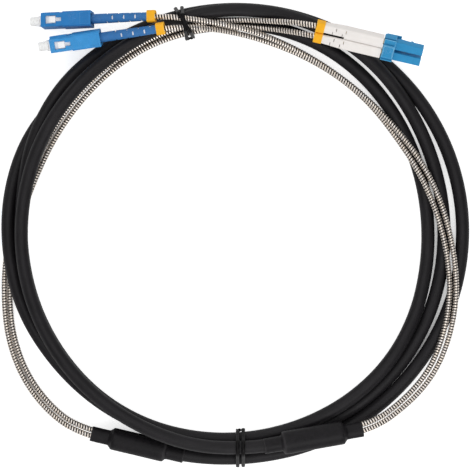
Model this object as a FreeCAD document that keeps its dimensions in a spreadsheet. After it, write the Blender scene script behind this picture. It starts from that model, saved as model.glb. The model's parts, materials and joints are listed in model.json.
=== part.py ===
import FreeCAD
import Part
import Sketcher
import math
import os
import re
from FreeCAD import Placement, Rotation, Vector

# Armoured fibre patch cord: a coiled cable, two breakouts, four armoured legs and their plugs
# Sizes are in millimetres and degrees; every plug has its own frame with X towards the mating end

SIZES = {
    # Cable and legs
    "cable_dia": 7.0,
    "leg_dia": 3.0,
    "leg_spread": 3.3,
    "coil_step": 15.0,
    # Breakouts, from the cable's end face towards the legs
    "shrink_wall": 0.5,
    "shrink_gap": 0.05,
    "cable_cuff": 9.4,
    "cuff_taper": 2.2,
    "core_dia": 9.9,
    "core_length": 29.0,
    "leg_taper": 2.0,
    "left_leg_cuff": 9.4,
    "right_leg_cuff": 11.4,
    "leg_cuff_wide": 6.8,
    "leg_cuff_tall": 4.0,
    "leg_lead": 18.0,
    # Last straight of each leg, behind its plug
    "sc_leg_lead": 17.8,
    "lc_leg_lead": 16.0,
    # Twist ties: flat coated strip
    "tie_wide": 1.9,
    "tie_thick": 1.2,
    "tie_gap": 0.22,
    "tie_tail": 4.8,
    "tie_tail_wide": 1.8,
    "tie_tail_thick": 1.2,
    # Push-pull plug: coupling sleeve
    "sc_length": 26.6,
    "sc_wide": 7.4,
    "sc_tall": 9.0,
    "sc_wall": 0.95,
    "sc_round": 0.4,
    "sc_grip_start": 11.5,
    "sc_grip_proud": 0.4,
    "sc_window_front": 2.5,
    "sc_window_long": 5.6,
    "sc_window_wide": 4.2,
    "sc_tongue_long": 2.8,
    "sc_tongue_wide": 2.1,
    "sc_key_wide": 2.2,
    "sc_key_proud": 0.7,
    "sc_key_long": 9.0,
    "sc_travel": 1.5,
    # Push-pull plug: inside
    "slide_gap": 0.25,
    "sc_frame_proud": 0.8,
    "sc_frame_back": 20.0,
    "sc_boss_sink": 0.4,
    "sc_boss_gap": 0.35,
    "sc_ferrule_dia": 2.499,
    "sc_ferrule_proud": 4.0,
    "ferrule_sunk": 2.0,
    "ferrule_chamfer": 0.3,
    "ferrule_gap": 0.15,
    "ferrule_waist": 0.15,
    "ferrule_taper": 0.05,
    "press_gap": 0.02,
    "seat_gap": 0.1,
    "sc_chamber_dia": 4.4,
    "sc_flange_front": 6.0,
    "sc_flange_long": 2.0,
    "sc_stem_dia": 3.0,
    "sc_stem_long": 5.0,
    "spring_gap": 0.1,
    "sc_stop_front": 16.0,
    "sc_collar_dia": 4.9,
    "sc_collar_long": 1.2,
    "sc_barrel_dia": 3.4,
    "sc_barrel_back": 27.0,
    "fibre_bore": 1.2,
    "crimp_wall": 0.3,
    "crimp_gap": 0.05,
    "crimp_set": 0.2,
    "crimp_step": 0.8,
    # Push-pull plug: boot and dust cap
    "sc_boot_front": 22.0,
    "sc_boot_dia": 5.2,
    "sc_boot_straight": 33.0,
    "sc_boot_end": 56.2,
    "sc_boot_end_dia": 4.5,
    "boot_gap": 0.15,
    "boot_hollow": 1.0,
    "boot_slot": 0.8,
    "boot_slot_wide": 2.2,
    "sc_slot_start": 37.9,
    "slot_pitch": 6.1,
    "leg_in_boot": 8.0,
    "cap_dia": 5.2,
    "cap_lip": 5.8,
    "cap_lip_long": 0.9,
    "cap_gap": 0.1,
    "cap_long": 5.4,
    "cap_roof": 1.6,
    "cap_stand": 0.2,
    "cap_bevel": 0.3,
    # Marker rings
    "ring_long": 4.4,
    "ring_wide": 6.3,
    "ring_tall": 4.8,
    "ring_round": 1.2,
    "lc_ring_wide": 5.9,
    "lc_ring_tall": 5.2,
    "ring_gap": 0.3,
    # Small square plug
    "lc_pitch": 6.25,
    "lc_side": 4.52,
    "lc_length": 18.0,
    "lc_round": 0.3,
    "lc_nose_bore": 3.0,
    "lc_nose_deep": 5.0,
    "lc_guide_long": 1.4,
    "lc_chamber_dia": 3.2,
    "lc_ferrule_dia": 1.249,
    "lc_tip_sink": 0.4,
    "lc_flange_long": 1.4,
    "lc_stem_dia": 2.0,
    "lc_stem_long": 3.0,
    "lc_stop_front": 14.0,
    "lc_collar_dia": 4.2,
    "lc_collar_long": 1.2,
    "lc_barrel_dia": 2.5,
    "lc_barrel_back": 25.0,
    "lc_boot_wide": 6.0,
    "lc_boot_tall": 5.4,
    "lc_boot_round": 0.9,
    "lc_boot_straight": 41.7,
    "lc_boot_end": 52.6,
    "lc_boot_end_wide": 4.8,
    "lc_slit": 0.35,
    "lc_slit_long": 2.0,
    "lc_slit_side": 1.2,
    "lc_slit_start": 41.2,
    "lc_slit_step": 1.7,
    "lc_slit_pitch": 5.2,
    # Latch of the small plug
    "latch_gap": 0.15,
    "latch_root": 1.0,
    "latch_foot": 1.2,
    "latch_end": 13.2,
    "latch_rise": 1.7,
    "latch_thick": 0.7,
    "latch_wide": 2.2,
    "latch_lug_wide": 3.4,
    "latch_lug_back": 6.8,
    "latch_lug_long": 1.6,
    "latch_lug_tall": 1.1,
    "latch_lug_drop": 0.1,
    # Duplex clip
    "clip_behind": 2.8,
    "clip_long": 6.2,
    "clip_wall": 0.9,
    "clip_gap": 0.05,
    "clip_pad_long": 5.2,
    "clip_pad_wide": 6.6,
    "clip_pad_side": 0.8,
    "clip_pad_proud": 0.6,
    "trigger_wide": 10.4,
    "trigger_reach": 1.2,
    "trigger_thick": 0.7,
    "trigger_clear": 0.35,
    "trigger_lift": 0.4,
    "trigger_sink": 0.3,
    "trigger_root": 3.4,
    "trigger_slope": 1.0,
    "trigger_neck": 2.6,
}

doc = FreeCAD.newDocument("fibre_patch_cord")
sheet = doc.addObject("Spreadsheet::Sheet", "Sizes")
for row, (alias, number) in enumerate(SIZES.items(), 1):
    sheet.set("A%d" % row, str(number))
    sheet.setAlias("A%d" % row, alias)
doc.recompute()

PIECES = []


def ex(text):
    """Expression text with each size name pointed at the sheet"""
    def point(found):
        word = found.group(0)
        return "Sizes." + word if word in SIZES else word
    return re.sub(r"[a-z]\w*", point, text)


def val(text):
    """Number that an expression gives now"""
    return float(sheet.evalExpression(ex(text)))


# Sketch and feature helpers

def new_body(label, place):
    body = doc.addObject("PartDesign::Body", label)
    body.Label = label
    body.Placement = place
    PIECES.append(body)
    return body


def origin(body, role):
    return next(item for item in body.Origin.OriginFeatures if item.Role == role)


def sketch(body, name, role, offset="0"):
    """Empty sketch on one of the body's own planes"""
    page = body.newObject("Sketcher::SketchObject", "%s_%s_sketch" % (body.Name, name))
    page.AttachmentSupport = [(origin(body, role), "")]
    page.MapMode = "FlatFace"
    page.setExpression("AttachmentOffset.Base.z", ex(offset))
    return page


def hold(page, kind, index, place, text):
    """One driving distance from the sketch's origin"""
    number = page.addConstraint(Sketcher.Constraint(kind, -1, 1, index, place, val(text)))
    page.setExpression("Constraints[%d]" % number, ex(text))


def polygon(page, corners):
    """Closed outline of straight sides through corners given as expressions"""
    first = page.GeometryCount
    count = len(corners)
    spots = [Vector(val(across), val(up), 0) for across, up in corners]
    for index in range(count):
        page.addGeometry(Part.LineSegment(spots[index], spots[(index + 1) % count]), False)
    for index in range(count):
        after = first + (index + 1) % count
        page.addConstraint(Sketcher.Constraint("Coincident", first + index, 2, after, 1))
    for index, (across, up) in enumerate(corners):
        hold(page, "DistanceX", first + index, 1, across)
        hold(page, "DistanceY", first + index, 1, up)
    return page


def circle(page, dia):
    """Circle about the sketch's origin"""
    index = page.addGeometry(Part.Circle(Vector(), Vector(0, 0, 1), val(dia) / 2), False)
    page.addConstraint(Sketcher.Constraint("Coincident", index, 3, -1, 1))
    number = page.addConstraint(Sketcher.Constraint("Diameter", index, val(dia)))
    page.setExpression("Constraints[%d]" % number, ex(dia))
    return page


def rect(wide, tall, across="0", up="0"):
    """Corners of a rectangle about a middle point"""
    left = "(%s) - (%s) / 2" % (across, wide)
    right = "(%s) + (%s) / 2" % (across, wide)
    low = "(%s) - (%s) / 2" % (up, tall)
    high = "(%s) + (%s) / 2" % (up, tall)
    return [(left, low), (right, low), (right, high), (left, high)]


def pad(body, name, page, length, middle=False):
    feature = body.newObject("PartDesign::Pad", "%s_%s" % (body.Name, name))
    feature.Profile = page
    feature.setExpression("Length", ex(length))
    feature.Midplane = middle
    return feature


def bar(body, name, start, length, corners):
    """Straight bar along X with a section given in Y and Z"""
    return pad(body, name, polygon(sketch(body, name, "YZ_Plane", start), corners), length)


def through(body, name, page):
    """Cut right through, to both sides of the sketch"""
    feature = body.newObject("PartDesign::Pocket", "%s_%s" % (body.Name, name))
    feature.Profile = page
    feature.Type = "ThroughAll"
    feature.Midplane = True
    return feature


def turn(body, name, kind, corners):
    """Turned feature about X from corners given as place along X and radius"""
    page = polygon(sketch(body, name, "XZ_Plane"), corners)
    feature = body.newObject(kind, "%s_%s" % (body.Name, name))
    feature.Profile = page
    feature.ReferenceAxis = (page, ["H_Axis"])
    feature.Angle = 360
    return feature


def turned(label, place, corners):
    """Whole piece turned about X"""
    body = new_body(label, place)
    turn(body, "turn", "PartDesign::Revolution", corners)
    return body


def repeat(body, name, features, span, copies):
    """Row of copies along X, towards the cord"""
    row = body.newObject("PartDesign::LinearPattern", "%s_%s" % (body.Name, name))
    row.Originals = features
    row.Direction = (origin(body, "X_Axis"), [""])
    row.Reversed = True
    row.setExpression("Length", ex(span))
    row.Occurrences = copies
    body.Tip = row
    return row


def round_long_edges(body, name, base, radius, reach):
    """Fillet the edges that run along X and lie farther than reach from the axis"""
    doc.recompute()
    names = []
    for number, edge in enumerate(base.Shape.Edges, 1):
        start = edge.Vertexes[0].Point
        finish = edge.Vertexes[-1].Point
        along = finish - start
        middle = (start + finish) * 0.5
        lengthwise = along.Length > 0.5 and abs(along.x) > 0.95 * along.Length
        if lengthwise and math.hypot(middle.y, middle.z) > reach:
            names.append("Edge%d" % number)
    feature = body.newObject("PartDesign::Fillet", "%s_%s" % (body.Name, name))
    feature.Base = (base, names)
    feature.setExpression("Radius", ex(radius))
    return feature


def frame(base, yaw, pitch, roll):
    """Placement whose X points along yaw and pitch, turned by roll about itself"""
    heading = Rotation(Vector(0, 0, 1), yaw)
    tilt = Rotation(Vector(0, 1, 0), -pitch)
    spin = Rotation(Vector(1, 0, 0), roll)
    return Placement(Vector(*base), heading * tilt * spin)


def inside(place, along, across=0.0, up=0.0):
    """Point of a frame in the object's own coordinates"""
    return place.multVec(Vector(along, across, up))


# Where the rigid groups lie
SC_PLACES = [
    frame((-100.4, 111.2, 5.6), 182.4, -13.0, 9.3),
    frame((-96.0, 98.7, 12.9), 188.4, -8.5, -11.0),
]
LC_PLACE = frame((97.3, 93.1, 18.8), -13.2, -2.0, 210.0)
LEFT_BREAKOUT = frame((-35.8, -113.4, 5.7), 166.7, 0.0, 0.0)
RIGHT_BREAKOUT = frame((25.1, -108.9, 17.9), 9.8, -5.0, 0.0)

# Coil: centre, then angle, radius and height where the lay of the strands changes
COIL_CENTRE = Vector(0, 1.1, 0)
COIL_LEAD = 15.3
COIL_KEYS = [
    (260, 119.6, 5.5), (275, 117.5, 4.8), (290, 117.5, 4.0), (310, 117.5, 3.6), (330, 118.1, 3.6),
    (350, 118.8, 3.6), (370, 119.0, 3.6), (390, 118.6, 3.6), (410, 117.6, 3.6), (430, 116.6, 3.8),
    (450, 116.2, 4.2), (464, 116.3, 5.0), (470, 116.4, 5.7), (485, 117.3, 5.0), (500, 117.9, 11.0),
    (515, 115.8, 10.9), (530, 112.2, 9.0), (546, 111.4, 8.4), (553, 111.4, 9.6), (565, 111.4, 11.0),
    (580, 111.4, 11.2), (595, 111.6, 11.2), (605, 110.6, 11.2), (617, 109.2, 11.4), (631, 107.8, 11.9),
    (645, 106.6, 10.8), (660, 106.0, 9.9), (675, 105.6, 9.3), (690, 104.2, 8.3), (700, 102.4, 6.2),
    (712, 101.0, 3.7), (720, 100.4, 3.6), (735, 100.8, 3.6), (745, 101.7, 3.6), (755, 102.9, 3.6),
    (765, 104.5, 3.6), (775, 106.1, 3.6), (785, 107.5, 3.6), (800, 108.7, 4.0), (815, 108.8, 4.6),
    (825, 108.9, 5.0), (835, 109.0, 4.2), (845, 110.4, 3.6), (860, 113.9, 3.6), (875, 118.4, 3.6),
    (890, 119.0, 6.0), (905, 118.3, 7.0), (921, 117.4, 7.0), (931, 115.6, 4.6), (940, 114.7, 3.6),
    (950, 113.6, 3.6), (965, 111.6, 3.6), (977, 110.3, 4.0), (991, 109.8, 4.9), (1005, 110.5, 4.0),
    (1020, 110.9, 3.6), (1035, 110.8, 3.6), (1050, 110.2, 3.6), (1065, 109.6, 3.6), (1080, 109.0, 3.6),
    (1095, 109.2, 3.6), (1105, 109.8, 3.9), (1115, 111.1, 6.4), (1125, 113.0, 9.6), (1135, 114.6, 10.8),
    (1150, 115.9, 11.1), (1165, 116.2, 11.6), (1178, 115.8, 12.1), (1190, 113.8, 12.7), (1205, 111.8, 15.2),
    (1220, 111.7, 18.0), (1235, 111.7, 17.1), (1250, 111.3, 16.1), (1265, 111.5, 16.5), (1285, 111.8, 18.4),
    (1300, 111.9, 18.6), (1315, 112.1, 18.6), (1325, 112.4, 18.5), (1340, 112.9, 18.6),
]

# Free stretch of each leg, from its breakout to its plug
SC_LEGS = [
    [(90.7, -88.7, 9.4), (104.1, -73.4, 7.6), (112.2, -54.1, 7.8), (116.0, -33.0, 9.0), (114.5, -9.9, 8.9),
     (109.2, 12.6, 9.1), (100.8, 32.3, 9.3), (88.9, 49.7, 9.0), (73.6, 66.7, 5.4), (56.1, 81.6, 4.8),
     (35.5, 95.0, 4.4), (11.0, 105.8, 13.0), (-12.5, 110.8, 16.2)],
    [(88.7, -86.1, 9.4), (101.5, -71.3, 7.8), (109.2, -51.9, 8.9), (112.6, -31.4, 9.2), (110.8, -9.4, 9.1),
     (105.4, 11.6, 9.2), (97.4, 30.5, 9.5), (86.2, 47.9, 7.4), (71.4, 67.5, 1.6), (53.3, 83.1, 1.6),
     (31.8, 95.1, 1.6), (8.9, 103.2, 6.4), (-11.5, 107.2, 15.4)],
]
LC_LEGS = [
    [(-98.5, -92.4, 2.2), (-111.5, -74.9, 1.6), (-118.9, -54.4, 1.6), (-121.0, -32.9, 1.6),
     (-120.0, -10.4, 1.6), (-114.1, 12.2, 1.6), (-106.5, 32.4, 1.6), (-96.1, 53.7, 1.6),
     (-80.8, 74.6, 6.2), (-62.2, 91.7, 8.8), (-42.1, 103.2, 9.7), (-21.4, 110.0, 10.1),
     (-0.5, 112.1, 10.3), (20.9, 111.1, 15.8)],
    [(-95.7, -90.6, 2.2), (-108.7, -73.4, 1.6), (-116.0, -53.2, 1.6), (-118.0, -32.6, 1.6),
     (-116.9, -11.5, 1.6), (-111.1, 10.9, 1.6), (-103.8, 30.5, 1.6), (-93.7, 51.5, 1.6), (-78.7, 72.2, 4.4),
     (-60.5, 89.1, 7.0), (-41.1, 100.2, 9.4), (-21.4, 106.1, 10.1), (-1.6, 108.8, 9.9), (18.8, 107.4, 10.4)],
]

# Twist ties: point above the crossing and heading of each loop's plane
TOP_TIE = [((-26.5, 110.5), 122.0), ((-26.5, 110.5), 99.0)]
BOTTOM_TIE = [((1.4, -111.0), 90.0), ((4.3, -111.0), 90.0)]


# Cords

def between(keys, angle):
    """Radius and height of the coil at an angle"""
    for (low, low_radius, low_height), (high, high_radius, high_height) in zip(keys, keys[1:]):
        if low <= angle <= high:
            share = (angle - low) / (high - low)
            radius = low_radius + share * (high_radius - low_radius)
            return radius, low_height + share * (high_height - low_height)
    return keys[-1][1], keys[-1][2]


def coil_points():
    """Corner points of the coiled cable, from one breakout to the other"""
    step = val("coil_step")
    grow = 1 / (0.75 + 0.25 * math.cos(math.radians(step)))
    points = [inside(LEFT_BREAKOUT, 0), inside(LEFT_BREAKOUT, -COIL_LEAD)]
    angle = COIL_KEYS[0][0] + step
    while angle <= COIL_KEYS[-1][0]:
        radius, height = between(COIL_KEYS, angle)
        turn_angle = math.radians(angle)
        spot = Vector(math.cos(turn_angle), math.sin(turn_angle), 0) * (radius * grow)
        points.append(COIL_CENTRE + spot + Vector(0, 0, height))
        angle += step
    points.append(inside(RIGHT_BREAKOUT, -COIL_LEAD))
    points.append(inside(RIGHT_BREAKOUT, 0))
    return points


def rounded_path(points):
    """Straight runs joined by the largest tangent arcs that fit; gives the wire and the radii"""
    edges = []
    radii = []
    start = points[0]
    for before, corner, after in zip(points, points[1:], points[2:]):
        arrive = (corner - before).normalize()
        leave = (after - corner).normalize()
        half = arrive.getAngle(leave) / 2
        reach = 0.45 * min((corner - before).Length, (after - corner).Length)
        radius = reach / math.tan(half)
        inward = (leave - arrive).normalize()
        middle = corner + inward * (radius / math.cos(half) - radius)
        first = corner - arrive * reach
        last = corner + leave * reach
        edges.append(Part.LineSegment(start, first).toShape())
        edges.append(Part.Arc(first, middle, last).toShape())
        radii.append(radius)
        start = last
    edges.append(Part.LineSegment(start, points[-1]).toShape())
    return Part.Wire(edges), radii


def sweep(wire, centre, heading, dia):
    """Round bar of one diameter along a wire"""
    ring = Part.Wire(Part.Circle(centre, heading, dia / 2).toShape())
    return wire.makePipeShell([ring], True, False)


def cord(label, points, dia):
    """Cord as one plain solid; prints its radii and checks its volume"""
    wire, radii = rounded_path(points)
    solid = sweep(wire, points[0], points[1] - points[0], dia)
    expected = math.pi * dia * dia / 4 * wire.Length
    print("%s length %.1f least radius %.1f" % (label, wire.Length, min(radii)))
    print("  radii " + " ".join("%.0f" % radius for radius in radii))
    print("  volume ratio %.5f" % (solid.Volume / expected))
    piece = doc.addObject("Part::Feature", label)
    piece.Label = label
    piece.Shape = solid
    PIECES.append(piece)
    return wire.discretize(Distance=2.0)


cable_dia = val("cable_dia")
leg_dia = val("leg_dia")
half_spread = val("leg_spread / 2")
leg_start = val("core_length")
leg_leave = val("core_length + leg_lead")
sc_leg_end = val("-(sc_boot_end - leg_in_boot)")
lc_leg_end = val("-(lc_boot_end - leg_in_boot)")
sc_leg_turn = val("-(sc_boot_end - leg_in_boot) - sc_leg_lead")
lc_leg_turn = val("-(lc_boot_end - leg_in_boot) - lc_leg_lead")

PATHS = [(cord("main_cable", coil_points(), cable_dia), cable_dia / 2)]
for number, (middle, place, side) in enumerate(zip(SC_LEGS, SC_PLACES, (-half_spread, half_spread)), 1):
    points = [inside(RIGHT_BREAKOUT, leg_start, side), inside(RIGHT_BREAKOUT, leg_leave, side)]
    points += [Vector(*spot) for spot in middle]
    points += [inside(place, sc_leg_turn), inside(place, sc_leg_end)]
    PATHS.append((cord("sc_leg_%d" % number, points, leg_dia), leg_dia / 2))

LC_SIDES = [val("-lc_pitch / 2"), val("lc_pitch / 2")]
for number, (middle, across, side) in enumerate(zip(LC_LEGS, LC_SIDES, (half_spread, -half_spread)), 1):
    points = [inside(LEFT_BREAKOUT, leg_start, side), inside(LEFT_BREAKOUT, leg_leave, side)]
    points += [Vector(*spot) for spot in middle]
    points += [inside(LC_PLACE, lc_leg_turn, across), inside(LC_PLACE, lc_leg_end, across)]
    PATHS.append((cord("lc_leg_%d" % number, points, leg_dia), leg_dia / 2))


# Breakouts: a solid core between cable and legs under a stepped heat-shrink sleeve

def rod(name, radius, start, length):
    item = doc.addObject("Part::Cylinder", name)
    item.setExpression("Radius", ex(radius))
    item.setExpression("Height", ex(length))
    item.setExpression("Placement.Base.z", ex(start))
    return item


def cone(name, radius_low, radius_high, start, length):
    item = doc.addObject("Part::Cone", name)
    item.setExpression("Radius1", ex(radius_low))
    item.setExpression("Radius2", ex(radius_high))
    item.setExpression("Height", ex(length))
    item.setExpression("Placement.Base.z", ex(start))
    return item


def ring_section(name, radius, start):
    item = doc.addObject("Part::Circle", name)
    item.setExpression("Radius", ex(radius))
    item.setExpression("Placement.Base.z", ex(start))
    return item


def oval_section(name, wide, tall, start):
    item = doc.addObject("Part::Ellipse", name)
    item.setExpression("MajorRadius", ex("(%s) / 2" % wide))
    item.setExpression("MinorRadius", ex("(%s) / 2" % tall))
    item.Placement.Rotation = Rotation(Vector(0, 0, 1), 90)
    item.setExpression("Placement.Base.z", ex(start))
    return item


def blend(name, sections):
    item = doc.addObject("Part::Loft", name)
    item.Sections = sections
    item.Solid = True
    item.Ruled = True
    return item


def fuse(name, items):
    whole = doc.addObject("Part::MultiFuse", name)
    whole.Shapes = items
    return whole


def shrink_form(name, grow, over, leg_cuff):
    """Outer form of what the sleeve covers, grown by a thickness, past the ends by over"""
    cable = "cable_dia / 2 + %s" % grow
    core = "core_dia / 2 + %s" % grow
    wide = "leg_cuff_wide + 2 * (%s)" % grow
    tall = "leg_cuff_tall + 2 * (%s)" % grow
    legs = "core_length + leg_taper"
    finish = "%s + %s + %s" % (legs, leg_cuff, over)
    cuff = rod(name + "_cuff", cable, "-cable_cuff - %s" % over, "cable_cuff + %s" % over)
    shoulder = cone(name + "_shoulder", cable, core, "0", "cuff_taper")
    barrel = rod(name + "_barrel", core, "cuff_taper", "core_length - cuff_taper")
    end = ring_section(name + "_end", core, "core_length")
    oval = oval_section(name + "_oval", wide, tall, legs)
    taper = blend(name + "_taper", [end, oval])
    first = oval_section(name + "_first", wide, tall, legs)
    last = oval_section(name + "_last", wide, tall, finish)
    tail = blend(name + "_tail", [first, last])
    return fuse(name, [cuff, shoulder, barrel, taper, tail])


def breakout(label, place, leg_cuff):
    """Core and sleeve, made along Z and turned to lie along the frame's X"""
    lie = place.multiply(Placement(Vector(), Rotation(Vector(0, 1, 0), 90)))
    head = cone(label + "_core_head", "cable_dia / 2", "core_dia / 2", "0", "cuff_taper")
    trunk = rod(label + "_core_trunk", "core_dia / 2", "cuff_taper", "core_length - cuff_taper")
    core = fuse(label + "_core", [head, trunk])
    core.Placement = lie
    outer = shrink_form(label + "_outer", "shrink_gap + shrink_wall", "0", leg_cuff)
    inner = shrink_form(label + "_inner", "shrink_gap", "1", leg_cuff)
    sleeve = doc.addObject("Part::Cut", label + "_sleeve")
    sleeve.Base = outer
    sleeve.Tool = inner
    sleeve.Placement = lie
    PIECES.append(core)
    PIECES.append(sleeve)


breakout("left_breakout", LEFT_BREAKOUT, "left_leg_cuff")
breakout("right_breakout", RIGHT_BREAKOUT, "right_leg_cuff")


# Twist ties: two loops of coated strip drawn tight round whatever crosses their plane

def crossings(point, normal, reach):
    """Places and radii of the cords that cross a plane near a point, wider where they slant"""
    found = []
    half_wide = val("tie_wide / 2")
    for path, radius in PATHS:
        for here, there in zip(path, path[1:]):
            before = (here - point).dot(normal)
            after = (there - point).dot(normal)
            if before * after <= 0 and before != after:
                spot = here + (there - here) * (before / (before - after))
                slant = abs((there - here).normalize().dot(normal))
                if Vector(spot.x - point.x, spot.y - point.y, 0).Length < reach:
                    lean = math.sqrt(max(0.0, 1 - slant * slant)) / slant
                    found.append((spot, radius / slant + half_wide * lean))
    return found


def support(rounds, angle):
    """Number of the round that reaches farthest in a direction"""
    reach = [x * math.cos(angle) + y * math.sin(angle) + radius for x, y, radius in rounds]
    return reach.index(max(reach))


def tight_loop(point, heading):
    """Closed wire round all crossing cords: arcs on the outer ones, straight between them"""
    side = Vector(math.cos(math.radians(heading)), math.sin(math.radians(heading)), 0)
    normal = Vector(-side.y, side.x, 0)
    slack = val("tie_gap + tie_thick / 2")
    rounds = []
    for spot, radius in crossings(point, normal, 16.0):
        rounds.append(((spot - point).dot(side), spot.z, radius + slack))
    steps = 1440
    turns = [2 * math.pi * index / steps for index in range(steps)]
    active = [support(rounds, angle) for angle in turns]
    changes = [index for index in range(steps) if active[index] != active[index - 1]]
    marks = []
    for index in changes:
        x_old, y_old, r_old = rounds[active[index - 1]]
        x_new, y_new, r_new = rounds[active[index]]
        gap = math.hypot(x_new - x_old, y_new - y_old)
        toward = math.atan2(y_new - y_old, x_new - x_old)
        lean = math.acos((r_old - r_new) / gap)
        options = [toward + lean, toward - lean]
        best = min(options, key=lambda turn_to: abs(math.remainder(turn_to - turns[index], 2 * math.pi)))
        marks.append((best, active[index - 1], active[index]))

    def rim(number, angle):
        x, y, radius = rounds[number]
        return point + side * (x + radius * math.cos(angle)) + Vector(0, 0, y + radius * math.sin(angle))

    edges = []
    for (angle, old, new), (angle_next, old_next, new_next) in zip(marks, marks[1:] + marks[:1]):
        sweep_by = (angle_next - angle) % (2 * math.pi)
        edges.append(Part.LineSegment(rim(old, angle), rim(new, angle)).toShape())
        arc = Part.Arc(rim(new, angle), rim(new, angle + sweep_by / 2), rim(new, angle + sweep_by))
        edges.append(arc.toShape())
    return Part.Wire(edges)


def strip(wire, heading):
    """Flat strip of the tie's section along a closed upright wire"""
    edge = wire.Edges[0]
    start = edge.valueAt(edge.FirstParameter)
    along = edge.tangentAt(edge.FirstParameter)
    flat = Vector(-math.sin(math.radians(heading)), math.cos(math.radians(heading)), 0)
    wide = flat * val("tie_wide / 2")
    thick = along.cross(flat) * val("tie_thick / 2")
    corners = [start - wide - thick, start + wide - thick, start + wide + thick, start - wide + thick]
    return wire.makePipeShell([Part.makePolygon(corners + corners[:1])], True, False)


def twist_tie(label, loops):
    """Two loops of one strip and its twisted ends, which lie along the coil's inner side"""
    solids = []
    knots = []
    for (x, y), heading in loops:
        wire = tight_loop(Vector(x, y, 0), heading)
        solids.append(strip(wire, heading))
        inward = (COIL_CENTRE - Vector(x, y, 0)).normalize()
        knots.append(max(wire.discretize(Distance=0.5), key=lambda spot: spot.dot(inward)))
    half = val("tie_tail_wide / 2")
    along = Vector(inward.y, -inward.x, 0)
    low = knots[0] - along * val("tie_wide") - Vector(0, 0, half)
    high = low + Vector(0, 0, 2 * half)
    proud = inward * val("tie_tail_thick")
    corners = [low, low + proud, high + proud, high]
    solids.append(Part.Face(Part.makePolygon(corners + corners[:1])).extrude(along * val("tie_tail")))
    piece = doc.addObject("Part::Feature", label)
    piece.Label = label
    piece.Shape = solids[0].fuse(solids[2]).fuse(solids[1])
    PIECES.append(piece)


twist_tie("top_twist_tie", TOP_TIE)
twist_tie("bottom_twist_tie", BOTTOM_TIE)


# Parts that both kinds of plug share

def marker_ring(label, place, boot_end, wide, tall):
    body = new_body(label, place)
    start = "-%s - ring_long" % boot_end
    block = bar(body, "block", start, "ring_long", rect(wide, tall))
    round_long_edges(body, "round", block, "ring_round", 1.0)
    through(body, "bore", circle(sketch(body, "bore", "YZ_Plane", start), "leg_dia + 2 * ring_gap"))
    return body


def spring_tube(label, place, front, back, outer, inner):
    return turned(label, place, [(back, inner), (front, inner), (front, outer), (back, outer)])


def crimp_ring(label, place, collar_back, barrel_back, barrel_dia, leg_end):
    """Crimped head on the barrel with a tail that meets the end of the armour"""
    front = "-(%s) - crimp_set" % collar_back
    floor = "-%s - seat_gap" % barrel_back
    head_back = "%s - crimp_step" % floor
    head_in = "%s / 2 + crimp_gap" % barrel_dia
    head_out = "%s + crimp_wall" % head_in
    return turned(label, place, [
        (front, head_in), (front, head_out), (head_back, head_out), (head_back, "leg_dia / 2"),
        (leg_end, "leg_dia / 2"), (leg_end, "fibre_bore / 2"), (floor, "fibre_bore / 2"), (floor, head_in)])


def boot_slots(body, start, copies):
    """Two staggered rows of cross slots that let the boot bend, one more of them at the sides"""
    low = sketch(body, "low", "XY_Plane")
    polygon(low, rect("boot_slot", "boot_slot_wide", "-%s" % start, "0"))
    first = through(body, "slot_low", low)
    repeat(body, "row_low", [first], "slot_pitch * %d" % (copies - 1), copies)
    side = sketch(body, "side", "XZ_Plane")
    polygon(side, rect("boot_slot", "boot_slot_wide", "slot_pitch / 2 - %s" % start, "0"))
    second = through(body, "slot_side", side)
    repeat(body, "row_side", [second], "slot_pitch * %d" % copies, copies + 1)


def boot_slits(body, copies):
    """Thin slits from each side in turn near the rear end of a boot"""
    page = sketch(body, "slits", "XY_Plane")
    polygon(page, rect("lc_slit", "lc_slit_long", "-lc_slit_start", "-lc_slit_side"))
    polygon(page, rect("lc_slit", "lc_slit_long", "-lc_slit_start - lc_slit_step", "lc_slit_side"))
    pair = through(body, "slit_pair", page)
    repeat(body, "slit_row", [pair], "lc_slit_pitch * %d" % (copies - 1), copies)


# Push-pull plug

def sc_sleeve(label, place):
    body = new_body(label, place)
    shell = bar(body, "shell", "-sc_length", "sc_length", rect("sc_wide", "sc_tall"))
    round_long_edges(body, "round", shell, "sc_round", 1.0)
    grip = rect("sc_wide + 2 * sc_grip_proud", "sc_tall - 2 * sc_round")
    bar(body, "grip", "-sc_length", "sc_length - sc_grip_start", grip)
    bar(body, "key", "-sc_key_long", "sc_key_long",
        rect("sc_key_proud * 2", "sc_key_wide", "-sc_wide / 2", "0"))
    cavity = rect("sc_wide - 2 * sc_wall", "sc_tall - 2 * sc_wall")
    through(body, "cavity", polygon(sketch(body, "cavity", "YZ_Plane"), cavity))
    front = "-sc_window_front"
    back = "-sc_window_front - sc_window_long"
    tongue = "-sc_window_front - sc_window_long - sc_tongue_long"
    window = polygon(sketch(body, "window", "XY_Plane"), [
        (front, "-sc_window_wide / 2"), (front, "sc_window_wide / 2"), (back, "sc_window_wide / 2"),
        (back, "sc_tongue_wide / 2"), (tongue, "sc_tongue_wide / 2"), (tongue, "-sc_tongue_wide / 2"),
        (back, "-sc_tongue_wide / 2"), (back, "-sc_window_wide / 2")])
    through(body, "window", window)
    return body


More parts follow.
